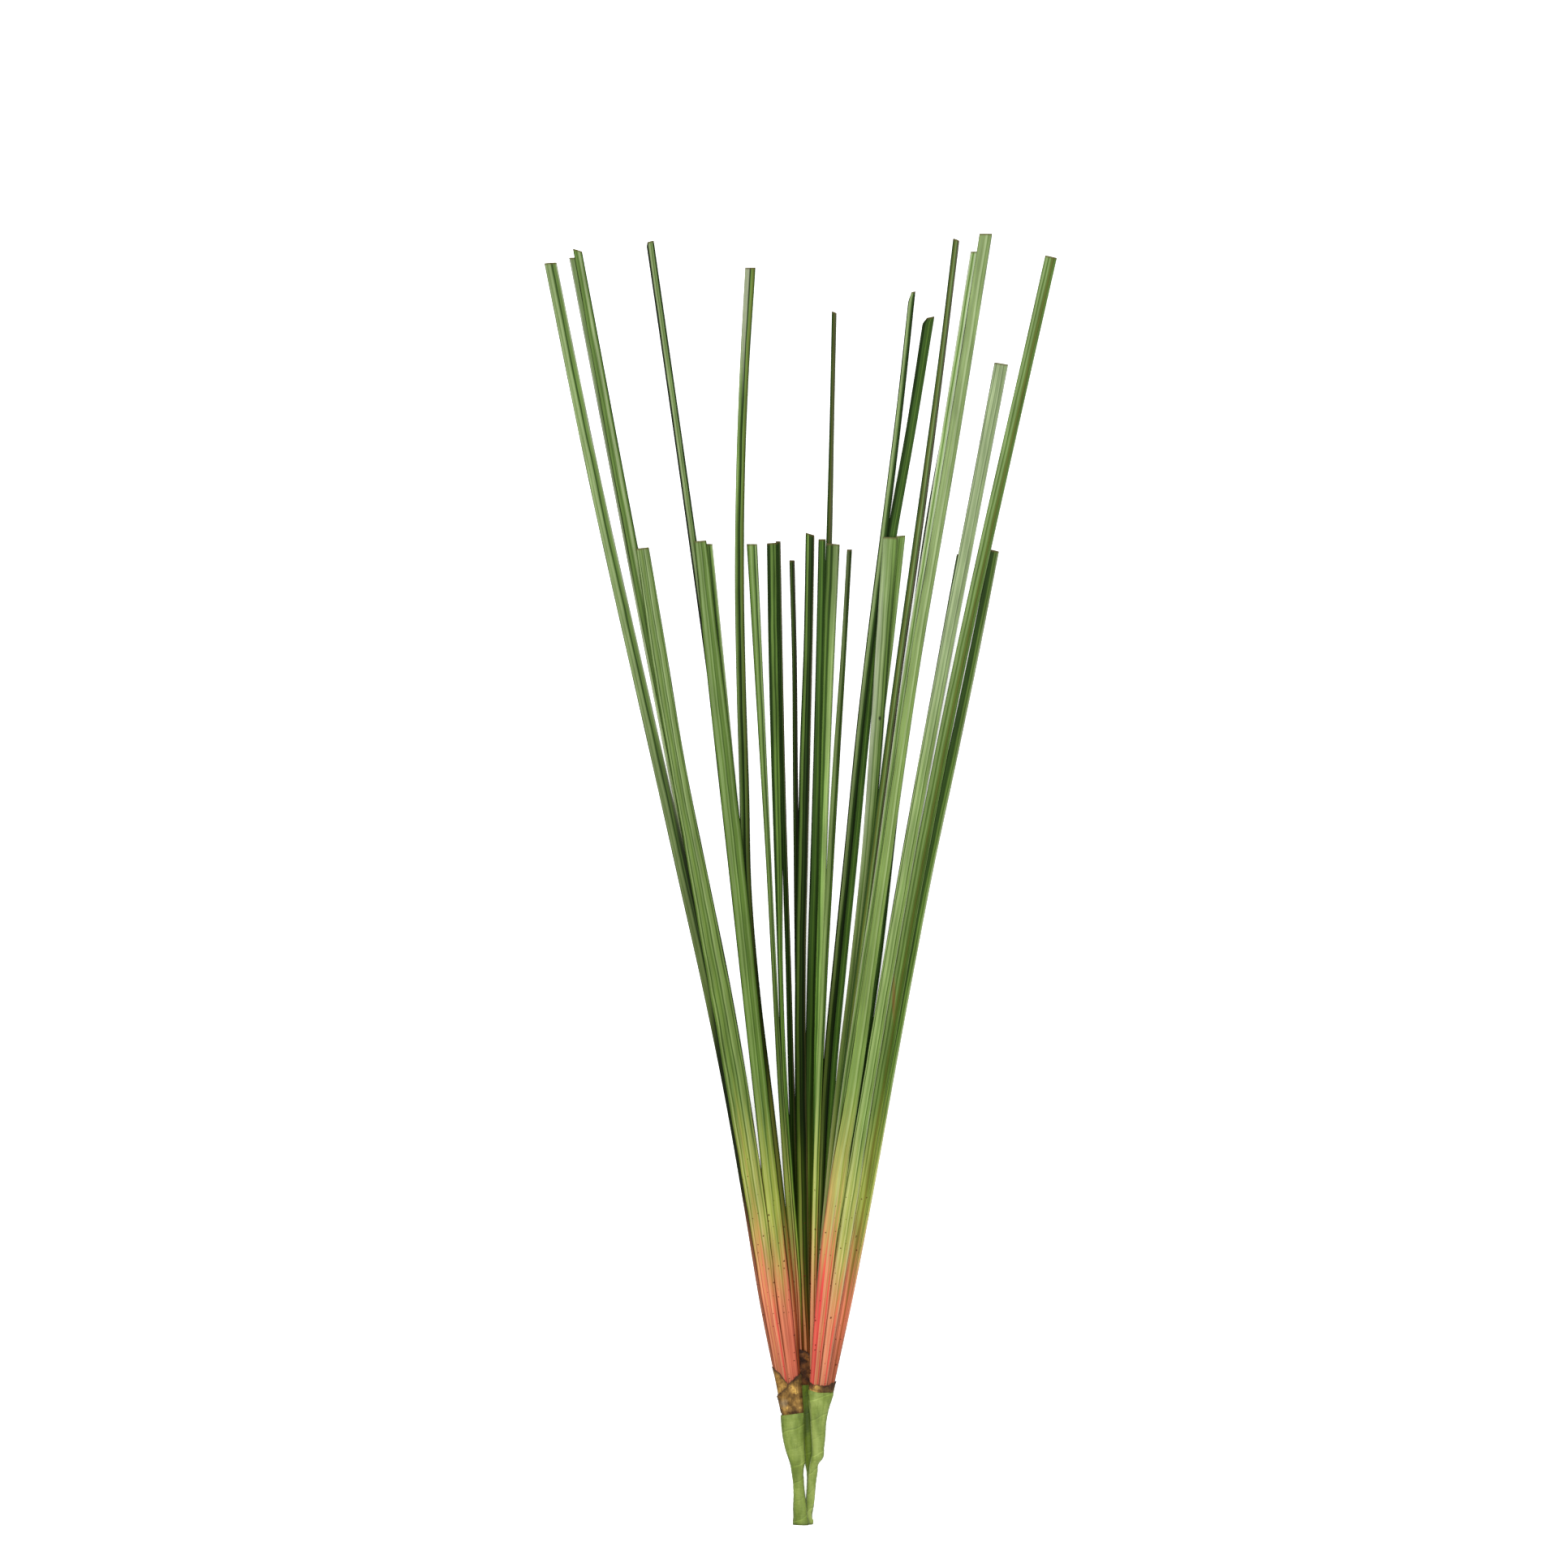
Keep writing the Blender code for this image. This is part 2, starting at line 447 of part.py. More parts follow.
def right_top(angle):
    return 76.0 + 1.1 * np.cos(2 * angle) + ragged(angle, 0.4)


def centre_on_origin():
    """Moves every piece together, so that the origin lies under the middle of the box."""
    pieces = list(bpy.data.objects)
    corners = np.concatenate([np.array([v.co for v in piece.data.vertices]) for piece in pieces])
    low, high = corners.min(axis=0), corners.max(axis=0)
    move = Vector(((low[0] + high[0]) / 2, (low[1] + high[1]) / 2, low[2]))
    for piece in pieces:
        for vertex in piece.data.vertices:
            vertex.co = vertex.co - move
    size = (high - low) / MM
    print(f"The bunch is {size[0]:.1f} x {size[1]:.1f} x {size[2]:.1f} mm")


def main():
    for old in list(bpy.data.objects):
        bpy.data.objects.remove(old, do_unlink=True)
    pile = Leaves()
    add_leaves(pile)
    brown, dark_brown = (0.38, 0.22, 0.08), (0.16, 0.09, 0.04)
    outer_clear = GAP + SHEATH_WALL + GAP
    add_sheath(pile, "left_inner_sheath", "left", 60.3, left_inner_top, GAP, brown)
    add_sheath(pile, "left_outer_sheath", "left", 60.3, left_outer_top, outer_clear, brown)
    add_sheath(pile, "middle_sheath", "middle", 75.7, middle_top, GAP, dark_brown)
    add_sheath(pile, "right_sheath", "right", 71.5, right_top, GAP, dark_brown, lump=0.7)
    add_stem(pile, "left", outer_clear, (0.30, 0.44, 0.10))
    add_stem(pile, "middle", GAP, (0.18, 0.32, 0.05))
    add_stem(pile, "right", GAP, (0.33, 0.47, 0.12))
    centre_on_origin()


main()
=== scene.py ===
# %% [markdown]
# # A bunch of cattail leaves
#
# Three cut shoots of cattail lie on a pale table, seen from straight above. Each shoot is a
# fan of long strap leaves that turn from green to coral at their bases, a brown papery
# sheath round those bases, and a stem end wound with green crepe tape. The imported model
# gives every piece as a plain solid in its place. This lesson gives each one its fine
# surface and its finish, and keeps it exactly where the solid is.

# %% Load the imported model
import json
import math
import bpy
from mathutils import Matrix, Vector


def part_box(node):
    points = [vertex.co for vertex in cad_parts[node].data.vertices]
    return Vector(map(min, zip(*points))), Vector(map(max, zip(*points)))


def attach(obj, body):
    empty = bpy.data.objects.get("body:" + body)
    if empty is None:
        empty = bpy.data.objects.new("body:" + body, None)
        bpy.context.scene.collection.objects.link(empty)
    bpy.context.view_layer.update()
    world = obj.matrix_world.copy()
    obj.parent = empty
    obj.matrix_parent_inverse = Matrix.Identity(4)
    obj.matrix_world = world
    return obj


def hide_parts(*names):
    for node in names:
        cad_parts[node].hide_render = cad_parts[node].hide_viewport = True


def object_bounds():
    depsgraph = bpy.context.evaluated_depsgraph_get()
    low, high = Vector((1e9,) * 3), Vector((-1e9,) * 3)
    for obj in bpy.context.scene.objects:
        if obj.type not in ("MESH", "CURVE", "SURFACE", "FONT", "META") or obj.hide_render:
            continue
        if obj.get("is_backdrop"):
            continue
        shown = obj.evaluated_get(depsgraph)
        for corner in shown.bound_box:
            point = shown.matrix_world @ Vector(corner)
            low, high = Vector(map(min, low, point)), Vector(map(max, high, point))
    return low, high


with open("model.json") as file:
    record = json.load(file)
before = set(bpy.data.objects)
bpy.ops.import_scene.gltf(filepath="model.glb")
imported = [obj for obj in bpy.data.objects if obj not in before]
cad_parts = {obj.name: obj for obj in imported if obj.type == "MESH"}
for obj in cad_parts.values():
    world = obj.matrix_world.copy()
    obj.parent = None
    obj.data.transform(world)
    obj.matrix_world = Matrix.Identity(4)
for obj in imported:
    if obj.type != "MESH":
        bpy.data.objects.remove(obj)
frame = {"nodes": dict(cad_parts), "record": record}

import zlib

import bpy
import numpy as np
from mathutils import Vector

MM = 0.001
cad_box = [list(corner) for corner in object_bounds()]
print(f"{len(frame['nodes'])} solids in a box of",
      [round((high - low) / MM, 1) for low, high in zip(*cad_box)], "mm")

# %% [markdown]
# ## Helpers for meshes
#
# A leaf, a sheath and a taped stem are all the same kind of surface: a closed outline
# carried along a path. So every piece here is one grid of points, with rows along the piece
# and columns round it. Working with whole arrays keeps each shape a formula that can be
# read, where moving points one by one would not be. The solids are read back the same way,
# as rings of corners.


# %% Curves and steps
def smooth_curve(at, marks, values):
    """A smooth curve through (marks, values), read at the places at. Between two marks it is
    a cubic whose slopes are those of the line through the neighbouring marks. Values may be
    an array with any number of further axes."""
    slopes = np.gradient(values, marks, axis=0)
    i = np.clip(np.searchsorted(marks, at, side="right") - 1, 0, len(marks) - 2)
    further = (-1,) + (1,) * (values.ndim - 1)
    span = (marks[i + 1] - marks[i]).reshape(further)
    t = (at - marks[i]).reshape(further) / span
    return (values[i] * (1 + 2 * t) * (1 - t) ** 2 + slopes[i] * span * t * (1 - t) ** 2
            + values[i + 1] * t**2 * (3 - 2 * t) + slopes[i + 1] * span * t**2 * (t - 1))


def ease(at, start, end):
    """0 before start, 1 after end, and between them 3 t squared minus 2 t cubed."""
    t = np.clip((at - start) / (end - start), 0, 1)
    return t * t * (3 - 2 * t)


# %% Grids of points become meshes
SLOTS = {item["node"]: item["material_slot"] for item in frame["record"]["subparts"]}


def side_faces(rows, columns, ring_rows=False):
    """The four-sided faces of a grid whose columns close into a ring, and whose rows do too
    if ring_rows is set: each face joins a point, its neighbour round the ring, and the same
    two in the next row."""
    here = np.arange(rows * columns).reshape(rows, columns)
    beside = np.roll(here, -1, axis=1)
    above, above_beside = np.roll(here, -1, axis=0), np.roll(beside, -1, axis=0)
    last = rows if ring_rows else rows - 1
    return np.stack([here, beside, above_beside, above], axis=2)[:last].reshape(-1, 4)


def end_faces(first, columns):
    """The faces that close a ring of an even number of points: each joins two neighbours to
    the two opposite them, which come as far before the ring's first point as they come
    after it. The face at either end is a triangle, written with one corner twice."""
    one = np.arange(columns // 2 + 1)
    other = -one % columns
    return first + np.stack([one[:-1], one[1:], other[1:], other[:-1]], axis=1)


def closed_faces(rows, columns):
    """The faces of a grid whose first and last row are closed, and 0 or 1 for each of them:
    on the side or on an end."""
    sides = side_faces(rows, columns)
    ends = [end_faces(0, columns)[:, ::-1], end_faces((rows - 1) * columns, columns)]
    faces = np.concatenate([sides, *ends])
    return faces, np.repeat([0, 1], [len(sides), len(faces) - len(sides)])


def volume_inside(points, faces):
    """Six times the volume inside closed faces: the sum, over their triangles, of the box
    product of the three corners. It is below 0 if the faces point inwards."""
    a, b, c, d = (points[faces[:, i]] for i in range(4))
    return np.einsum("ij,ij->", a, np.cross(b, c)) + np.einsum("ij,ij->", a, np.cross(c, d))


def make_piece(node, points, faces, uv, materials, material_index, sharp=50):
    """Makes the mesh piece that stands for a node, from a grid of points in metres. uv is
    each point's place on the surface: where it starts again from 0 inside a face, 1 is
    added, so that a pattern runs on round the ring."""
    points, uv = points.reshape(-1, 3), uv.reshape(-1, 2)
    if volume_inside(points, faces) < 0:
        faces = faces[:, ::-1]
    used = np.ones(faces.shape, bool)
    used[:, 3] = faces[:, 3] != faces[:, 0]
    used[:, 2] = faces[:, 2] != faces[:, 1]
    corner_uv = uv[faces]
    restarts = np.ptp(corner_uv[:, :, 0], axis=1) > 0.5
    corner_uv[:, :, 0] += restarts[:, None] & (corner_uv[:, :, 0] < 0.5)
    mesh = bpy.data.meshes.new(node + "_surface")
    mesh.from_pydata(points.tolist(), [], [face[use].tolist() for face, use in zip(faces, used)])
    layer = mesh.uv_layers.new(name="strip")
    layer.data.foreach_set("uv", corner_uv[used].astype(np.float32).ravel())
    for material in materials:
        mesh.materials.append(material)
    mesh.polygons.foreach_set("material_index", material_index)
    mesh.shade_smooth()
    mesh.set_sharp_from_angle(angle=math.radians(sharp))
    piece = bpy.data.objects.new(node + "_surface", mesh)
    bpy.context.scene.collection.objects.link(piece)
    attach(piece, "root")
    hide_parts(node)
    return 2 * len(faces)


# %% Read the corners of a solid
def solid_rings(node, around):
    """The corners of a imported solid, each once, as rings of that many corners along Y."""
    mesh = frame["nodes"][node].data
    corners = np.empty(len(mesh.vertices) * 3, np.float32)
    mesh.vertices.foreach_get("co", corners)
    corners = np.unique(corners.reshape(-1, 3).round(7), axis=0).astype(float)
    return corners[np.argsort(corners[:, 1], kind="stable")].reshape(-1, around, 3)


print("Rings of the longest leaf:", len(solid_rings("right_leaf_12", 12)))

# %% [markdown]
# ## Helpers for materials
#
# Colours are written as the hex values that a paint or photo program shows, and turned to
# the linear values that a shader works with by one function. One fills the inputs of a
# node, and one more adds a node with its settings and links, so that each material below
# reads as a list of steps.


# %% Colours and nodes
def linear(hex_colour):
    """A #rrggbb colour as linear red, green, blue and 1: each value divided by 255, then
    (value + 0.055) / 1.055 to the power 2.4, or value / 12.92 where it is very dark."""
    value = np.array([int(hex_colour[i:i + 2], 16) for i in (1, 3, 5)]) / 255
    out = np.where(value <= 0.04045, value / 12.92, ((value + 0.055) / 1.055) ** 2.4)
    return (*out.tolist(), 1.0)


def feed(node, *values, **words):
    """Fills inputs of a node. values go to the inputs that it shows, in their order, and a
    word names an input, with _ for a space. A socket is linked, and any other value is set."""
    shown = [socket for socket in node.inputs if socket.enabled]
    named = [(node.inputs[word.replace("_", " ")], value) for word, value in words.items()]
    for socket, value in [*zip(shown, values), *named]:
        if isinstance(value, bpy.types.NodeSocket):
            node.id_data.links.new(value, socket)
        else:
            socket.default_value = value


def add(tree, kind, *values, stops=(), **words):
    """Adds a shader node of that kind and returns its outputs. A word in small letters is a
    setting. The values and the other words are for its inputs, and stops are the places and
    hex colours of a ramp."""
    node = tree.nodes.new("ShaderNode" + kind)
    for word in filter(str.islower, words):
        setattr(node, word, words[word])
    feed(node, *values, **{word: words[word] for word in words if not word.islower()})
    for i, (place, colour) in enumerate(stops):
        elements = node.color_ramp.elements
        element = elements[i] if i < 2 else elements.new(place)
        element.position, element.color = place, linear(colour)
    return node.outputs


def new_material(name):
    """An empty node material, as the material, its node tree and its surface shader."""
    material = bpy.data.materials.new(name)
    material.use_nodes = True
    return material, material.node_tree, material.node_tree.nodes["Principled BSDF"]


# %% [markdown]
# ## Table, light and camera
#
# The bunch lies down, so the camera looks straight down on it from 4 m, with a long lens
# that takes in 850 mm. Soft light from big panels keeps the ribs of the leaves readable
# without hard shadows, and a pale surround fills the rest.

# %% Camera
VIEW_WIDTH = 850.1 * MM
EYE_HEIGHT = 4.0
MEAN_HEIGHT = 5 * MM
LOOK_AT = (-9.0 * MM, 51.5 * MM)

camera_data = bpy.data.cameras.new("overhead_camera")
camera_data.sensor_width = 36.0
camera_data.lens = camera_data.sensor_width * (EYE_HEIGHT - MEAN_HEIGHT) / VIEW_WIDTH
camera = bpy.data.objects.new("overhead_camera", camera_data)
camera.location = (*LOOK_AT, EYE_HEIGHT)
bpy.context.scene.collection.objects.link(camera)
bpy.context.scene.camera = camera
print(f"Lens {camera_data.lens:.1f} mm at {EYE_HEIGHT} m")


# %% Soft panels and surround
def soft_panel(name, place, size, watts, aim=(0, 0, 0)):
    """A square lamp of that size in metres, turned to shine at the aim."""
    lamp = bpy.data.lights.new(name, "AREA")
    lamp.size = size
    lamp.energy = watts
    panel = bpy.data.objects.new(name, lamp)
    panel.location = place
    panel.rotation_euler = (Vector(aim) - Vector(place)).to_track_quat("-Z", "Y").to_euler()
    bpy.context.scene.collection.objects.link(panel)


soft_panel("key_panel", (-1.2, 1.0, 5.0), 3.0, 256)
soft_panel("fill_panel", (1.3, -0.9, 5.5), 3.5, 148)
world = bpy.data.worlds.new("pale_surround")
world.use_nodes = True
feed(world.node_tree.nodes["Background"], Color=(1.0, 1.0, 1.0, 1), Strength=0.54)
bpy.context.scene.world = world
bpy.context.scene.view_settings.view_transform = "Standard"

# %% Table top
TABLE_DROP = 0.05 * MM
TABLE_REACH = 6.0

table_mesh = bpy.data.meshes.new("table_top")
corners = np.array([(-1, -1, 0), (1, -1, 0), (1, 1, 0), (-1, 1, 0)]) * TABLE_REACH
table_mesh.from_pydata((corners - (0, 0, TABLE_DROP)).tolist(), [], [(0, 1, 2, 3)])
table_top = bpy.data.objects.new("table_top", table_mesh)
white_laminate, tree, surface = new_material("white_laminate")
# A light under the white top keeps the narrow gaps between the leaves free of grey.
feed(surface, Base_Color=linear("#f7f7f6"), Roughness=0.7, Emission_Color=linear("#ffffff"),
     Emission_Strength=0.55)
table_mesh.materials.append(white_laminate)
bpy.context.scene.collection.objects.link(table_top)
table_top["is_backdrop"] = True

# %% [markdown]
# ## The leaf blades: shape
#
# A cattail leaf is a thick strap, about 1 mm through, with a few broad ribs and the grooves
# between them running its whole length. It could be a plane with a bump map, but the cut
# tips and the shadows in the grooves are real relief. So each blade is a surface of two
# parameters: u goes across it from -1 to 1, and v along it from base to tip. Its middle
# surface is a parabola across, and its two faces stand off that by half the thickness plus
# the ribs.
#
# The ribs and the colours belong together: the stripe colours are partly the leaf's own and
# partly painted light on the ribs and painted shade in the grooves. Each leaf is therefore
# described by a row of words from its left edge to its right one, and each word has a
# height, and a colour for the fresh blade, for its yellowing stretch and for its coral base.

# %% The words for stripes: height, fresh, yellowing, base
STRIPES = {
    "silver": (0.4, "#a8b097", "#b9b87a", "#c9866a"),
    "pale": (1.0, "#98ab77", "#b4b76e", "#d38c67"),
    "light": (0.8, "#80975f", "#a2a956", "#ce7859"),
    "mid": (0.55, "#65803f", "#8f9a41", "#c46e4f"),
    "groove": (0.1, "#496429", "#6d7e2c", "#b05c42"),
    "deep": (0.3, "#334b1f", "#475d14", "#84361a"),
    "shade": (0.25, "#1c2c10", "#2e3c07", "#5a2810"),
    "black": (0.15, "#0f1807", "#182004", "#291104"),
    "olive": (0.6, "#626c31", "#7d7d30", "#914e2c"),
    "brown": (0.3, "#615e47", "#71622e", "#8a552c"),
    "amber": (0.7, "#7f9655", "#aca254", "#c58152"),
    "flush": (0.8, "#809659", "#acaa5a", "#d84c44"),
    # line: a dark margin stripe, partly the leaf's own colour and partly painted shade where an
    # edge lies in shadow.
    "line": (0.0, "#26390f", "#4e4e16", "#83381f"),
}
# How wide a stripe is next to the others, where that isn't 1.
WIDTHS = {"groove": 0.55, "line": 0.45, "silver": 0.8, "flush": 1.2}


def stripe_edges(words):
    """Where the stripes of a leaf meet, from 0 at its left edge to 1 at its right one."""
    return np.cumsum([0] + [WIDTHS.get(word, 1) for word in words]) / sum(
        WIDTHS.get(word, 1) for word in words)


# %% The leaves
# The stripes, how ripe the base is, how many mm further up the ripening starts, and how
# light the painted light and shade make the leaf at its tip and low down, where its
# neighbours shade it.
LEAVES = {
    "left_leaf_1": ("silver light light mid line", 1.0, 0, 0.66, 1.8),
    "left_leaf_2": ("black black shade pale pale mid light groove shade", 0.9, 0, 0.75, 0.3),
    "left_leaf_3": ("deep mid mid groove deep mid light silver", 0.9, 0, 1.1, 1.1),
    "left_leaf_4": ("line mid mid groove mid pale pale mid groove deep", 0.9, 0, 0.82, 0.6),
    "left_leaf_5": ("mid light mid deep shade mid olive deep", 1.0, 6, 1.05, 0.14),
    "left_leaf_6": ("line light pale light light pale light groove deep mid mid light silver",
                    1.0, -20, 0.88, 0.3),
    "left_leaf_7": ("line mid light light mid light groove mid mid light mid groove line",
                    1.0, 0, 0.82, 0.93),
    "left_leaf_8": ("line mid pale groove light amber mid light groove pale light flush groove "
                    "light line", 1.0, 4, 0.82, 0.82),
    "middle_leaf_1": ("deep olive brown groove brown", 0.5, -20, 0.7, 0.8),
    "middle_leaf_2": ("deep groove mid groove deep groove light light pale light line", 0.7,
                      -10, 0.5, 2.2),
    "middle_leaf_3": ("shade deep shade deep brown black", 0.6, -16, 1.0, 0.62),
    "middle_leaf_4": ("line mid deep brown black", 0.5, -30, 0.45, 0.02),
    "middle_leaf_5": ("shade deep deep groove deep shade deep", 0.9, 0, 1.6, 0.75),
    "middle_leaf_6": ("shade deep mid mid shade deep shade shade brown", 0.8, -18, 1.0, 0.4),
    "middle_leaf_7": ("deep shade deep mid mid deep groove mid deep shade", 0.8, -26, 0.85, 1.2),
    "middle_leaf_8": ("line groove mid light mid deep light line", 0.9, 0, 1.2, 0.6),
    "right_leaf_1": ("shade deep shade", 0.9, 0, 1.2, 2.8),
    "right_leaf_2": ("deep mid groove mid deep", 0.9, 0, 1.0, 1.0),
    "right_leaf_3": ("shade shade deep deep groove deep deep deep", 0.5, -10, 1.35, 1.4),
    "right_leaf_4": ("shade groove pale light deep shade", 0.3, -10, 0.9, 0.3),
    "right_leaf_5": ("light pale light deep mid shade", 0.9, 6, 0.2, 1.05),
    "right_leaf_6": ("mid light mid groove mid mid light mid", 1.0, 20, 1.05, 1.1),
    "right_leaf_7": ("silver pale light mid pale light groove mid deep", 0.5, 0, 1.0, 0.45),
    "right_leaf_8": ("deep olive light groove brown shade", 0.9, 0, 0.85, 1.0),
    "right_leaf_9": ("deep deep deep mid groove light silver", 1.0, 6, 0.68, 1.1),
    "right_leaf_10": ("silver light groove light pale groove light line", 0.6, 0, 1.3, 0.9),
    "right_leaf_11": ("mid light light groove mid light mid olive olive groove mid groove "
                      "light", 1.0, 4, 0.92, 0.8),
    "right_leaf_12": ("line pale groove pale pale light light pale groove flush light silver",
                      1.0, -12, 0.88, 1.08),
    "right_leaf_13": ("line flush flush light flush flush pale pale mid amber flush light line",
                      1.0, 8, 0.98, 1.05),
}
# How a tip is trimmed on its left: what part of the width goes, over what length in mm.
TRIMS = {"right_leaf_3": (0.3, 4.0), "right_leaf_4": (0.35, 7.0), "left_leaf_2": (0.15, 3.0)}
# How many mm a left and a right edge press further out against the next leaf, near the base.
PRESSED = {"left_leaf_8": (0, 0.5), "left_leaf_7": (-0.3, 0), "right_leaf_13": (0, 0.6),
           "right_leaf_12": (-0.3, 0.5)}
# A wash of another colour over a part of a leaf, such as silvery wax bloom, or painted deep
# shade where other leaves lie over it: across from where it starts to where it is full, the
# same along Y in mm, and its strength.
WASHES = (
    ("left_leaf_5", 0.58, 0.42, 245, 290, 0.75, "#a0a58c"),
    # Painted shade: these two near-black washes darken left_leaf_6 where the leaves over it
    # shade it.
    ("left_leaf_6", 0.68, 0.78, 95, 35, 0.9, "#10190a"),
    ("left_leaf_6", -0.2, -0.1, -35, -75, 0.93, "#10180a"),
    ("left_leaf_6", -0.2, -0.1, -145, -195, 0.7, "#a1634a"),
    ("right_leaf_7", 0.5, 0.2, -20, 80, 0.65, "#a0ab8b"),
    ("right_leaf_7", -0.2, -0.1, 130, 186, 0.65, "#728d4b"),
    ("right_leaf_10", 0.4, 0.6, 0, 130, 0.75, "#b4c0a5"),
    ("right_leaf_12", -0.2, -0.1, 60, 160, 0.25, "#adb99b"),
    ("right_leaf_13", -0.2, -0.1, 60, 200, 0.12, "#a9b596"),
    ("right_leaf_13", 0.5, 0.15, -148, -185, 0.5, "#cc7459"),
    ("right_leaf_13", 0.7, 0.3, -190, -235, 0.5, "#b93536"),
    ("left_leaf_7", 0.1, 0.5, -215, -250, 0.25, "#b53e3a"),
)
# One mark on a leaf: its place in mm, half its width and length, its strength and colour.
MARKS = {"right_leaf_7": (42.9, 87.1, 0.9, 1.6, 0.9, "#171b10"),
         "right_leaf_11": (50.4, -64.0, 1.2, 16.0, 0.5, "#66371c")}
print(f"{len(LEAVES)} leaves, {len(STRIPES)} words")


# %% Read a solid leaf as guide lines
def leaf_guides(node):
    """The guide lines of a solid leaf, from its rings of twelve corners: the place of each
    ring along it, its left edge and right edge, its crown (midway between the middles of
    its two faces) and half its thickness. The edges are the two corners furthest apart."""
    rings = solid_rings(node, 12)
    apart = np.linalg.norm(rings[:, :, None] - rings[:, None], axis=3).reshape(len(rings), -1)
    step, pair = np.arange(len(rings)), apart.argmax(axis=1)
    one, other = rings[step, pair // 12], rings[step, pair % 12]
    swap = (one[:, 0] > other[:, 0])[:, None]
    left, right = np.where(swap, other, one), np.where(swap, one, other)
    chord = right - left
    part = np.einsum("rcx,rx->rc", rings - left[:, None], chord)
    from_middle = np.abs(part / (chord**2).sum(axis=1)[:, None] - 0.5)
    middles = rings[step[:, None], np.argsort(from_middle, axis=1)[:, :2]]
    half = np.linalg.norm(middles[:, 0] - middles[:, 1], axis=1) / 2
    return (left[:, 1] + right[:, 1]) / 2, left, right, middles.mean(axis=1), half


# %% A leaf surface from its guide lines
LEAF_ACROSS = 31
BODY_ROWS, TIP_ROWS = 104, 20
TIP_LENGTH = 18 * MM
RIB_RELIEF = 0.11 * MM
BLADE_FILL = 0.78

u = np.sin(np.linspace(-1, 1, LEAF_ACROSS) * 1.35) / np.sin(1.35)


def rib_heights(words):
    """The height of the ribs at each u: the words' heights, each spread like a bell over
    its own stretch of the width, less their mean, and falling to 0 at the margins."""
    heights = np.array([STRIPES[word][0] for word in words])
    edges = stripe_edges(words) * 2 - 1
    centres = (edges[1:] + edges[:-1]) / 2
    share = np.exp(-((u[:, None] - centres) * len(words) / 1.3) ** 2)
    return (share @ heights / share.sum(axis=1) - heights.mean()) * (1 - u**6) * RIB_RELIEF


def leaf_surface(node, words):
    """The points of a leaf, as rows along it and columns round it, and their place on the
    strip. Middle surface: crown + u (right - left) / 2 + u squared ((left + right) / 2 -
    crown). Each face stands off it, at right angles to its slope across, by half the
    thickness times the root of (1 - u to the 6th), plus the ribs."""
    place, left, right, crown, half = leaf_guides(node)
    bend = place[-1] - TIP_LENGTH
    v = np.concatenate([np.linspace(place[0], bend, BODY_ROWS),
                        np.linspace(bend, place[-1], TIP_ROWS + 1)[1:]])
    left, right, crown = (smooth_curve(v, place, line) for line in (left, right, crown))
    half = np.interp(v, place, half)[:, None]
    press = np.array(PRESSED.get(node, (0, 0))) * MM
    pressed = press * (1 - ease(v, -165 * MM, -145 * MM))[:, None]
    left[:, 0] += pressed[:, 0]
    right[:, 0] += pressed[:, 1]
    if node in TRIMS:
        part, length = TRIMS[node]
        cut = part * ease(v, v[-1] - length * MM, v[-1])[:, None] ** 2
        crown = crown + (right - left) * cut / 2
        left = left + (right - left) * cut
    chord, bow = (right - left)[:, None], ((left + right) / 2 - crown)[:, None]
    middle = crown[:, None] + u[:, None] * chord / 2 + (u**2)[:, None] * bow
    slope = chord / 2 + 2 * u[:, None] * bow
    normal = np.stack([-slope[:, :, 2], 0 * slope[:, :, 0], slope[:, :, 0]], axis=2)
    normal /= np.linalg.norm(normal, axis=2)[:, :, None]
    ribs = rib_heights(words)
    swell = np.sqrt(1 - np.abs(u) ** 6) * half * BLADE_FILL
    top = middle + normal * (swell + ribs)[:, :, None]
    under = middle - normal * (swell + 0.4 * ribs)[:, :, None]
    rings = np.concatenate([top, under[:, -2:0:-1]], axis=1)
    across = np.concatenate([u, u[-2:0:-1]]) * 0.5 + 0.5
    rings[:, :, 2] = np.maximum(rings[:, :, 2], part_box(node)[0][2])
    strip = np.stack(np.broadcast_arrays(across, ((v - v[-1]) / MM)[:, None]), axis=2)
    return rings, strip


# %% [markdown]
# ## The leaf blades: finish
#
# The blade is living leaf with a thin wax bloom: satin, finely veined along its length,
# pale on the ribs and dark in the grooves, partly as painted light and shade. Lower down it
# yellows and then flushes coral, where the sheathed bases saw no light, and small brown
# flecks of rust sit on that part.
# A painted gradient could give the colours, but it would slide off the ribs. So three ramps
# across the leaf, made from the same words as the ribs, are mixed along its length.

# %% Living leaf with a wax bloom
VEIN_SPACING = 0.45 * MM
RUST_SPACING = 2.8 * MM
CORAL_FULL, CORAL_NONE = -238 * MM, -176 * MM
YELLOW_FULL, YELLOW_NONE = -176 * MM, -112 * MM
SHADED, LIT = -75 * MM, 215 * MM
SHADED_TINT = (0.735, 0.787, 0.555)
# The span along Y over which the bases are painted darker, as shade of the clasping sheath.
CLASP_SHADE = (-280 * MM, -240 * MM)
RUST_FADE = (-186 * MM, -146 * MM)


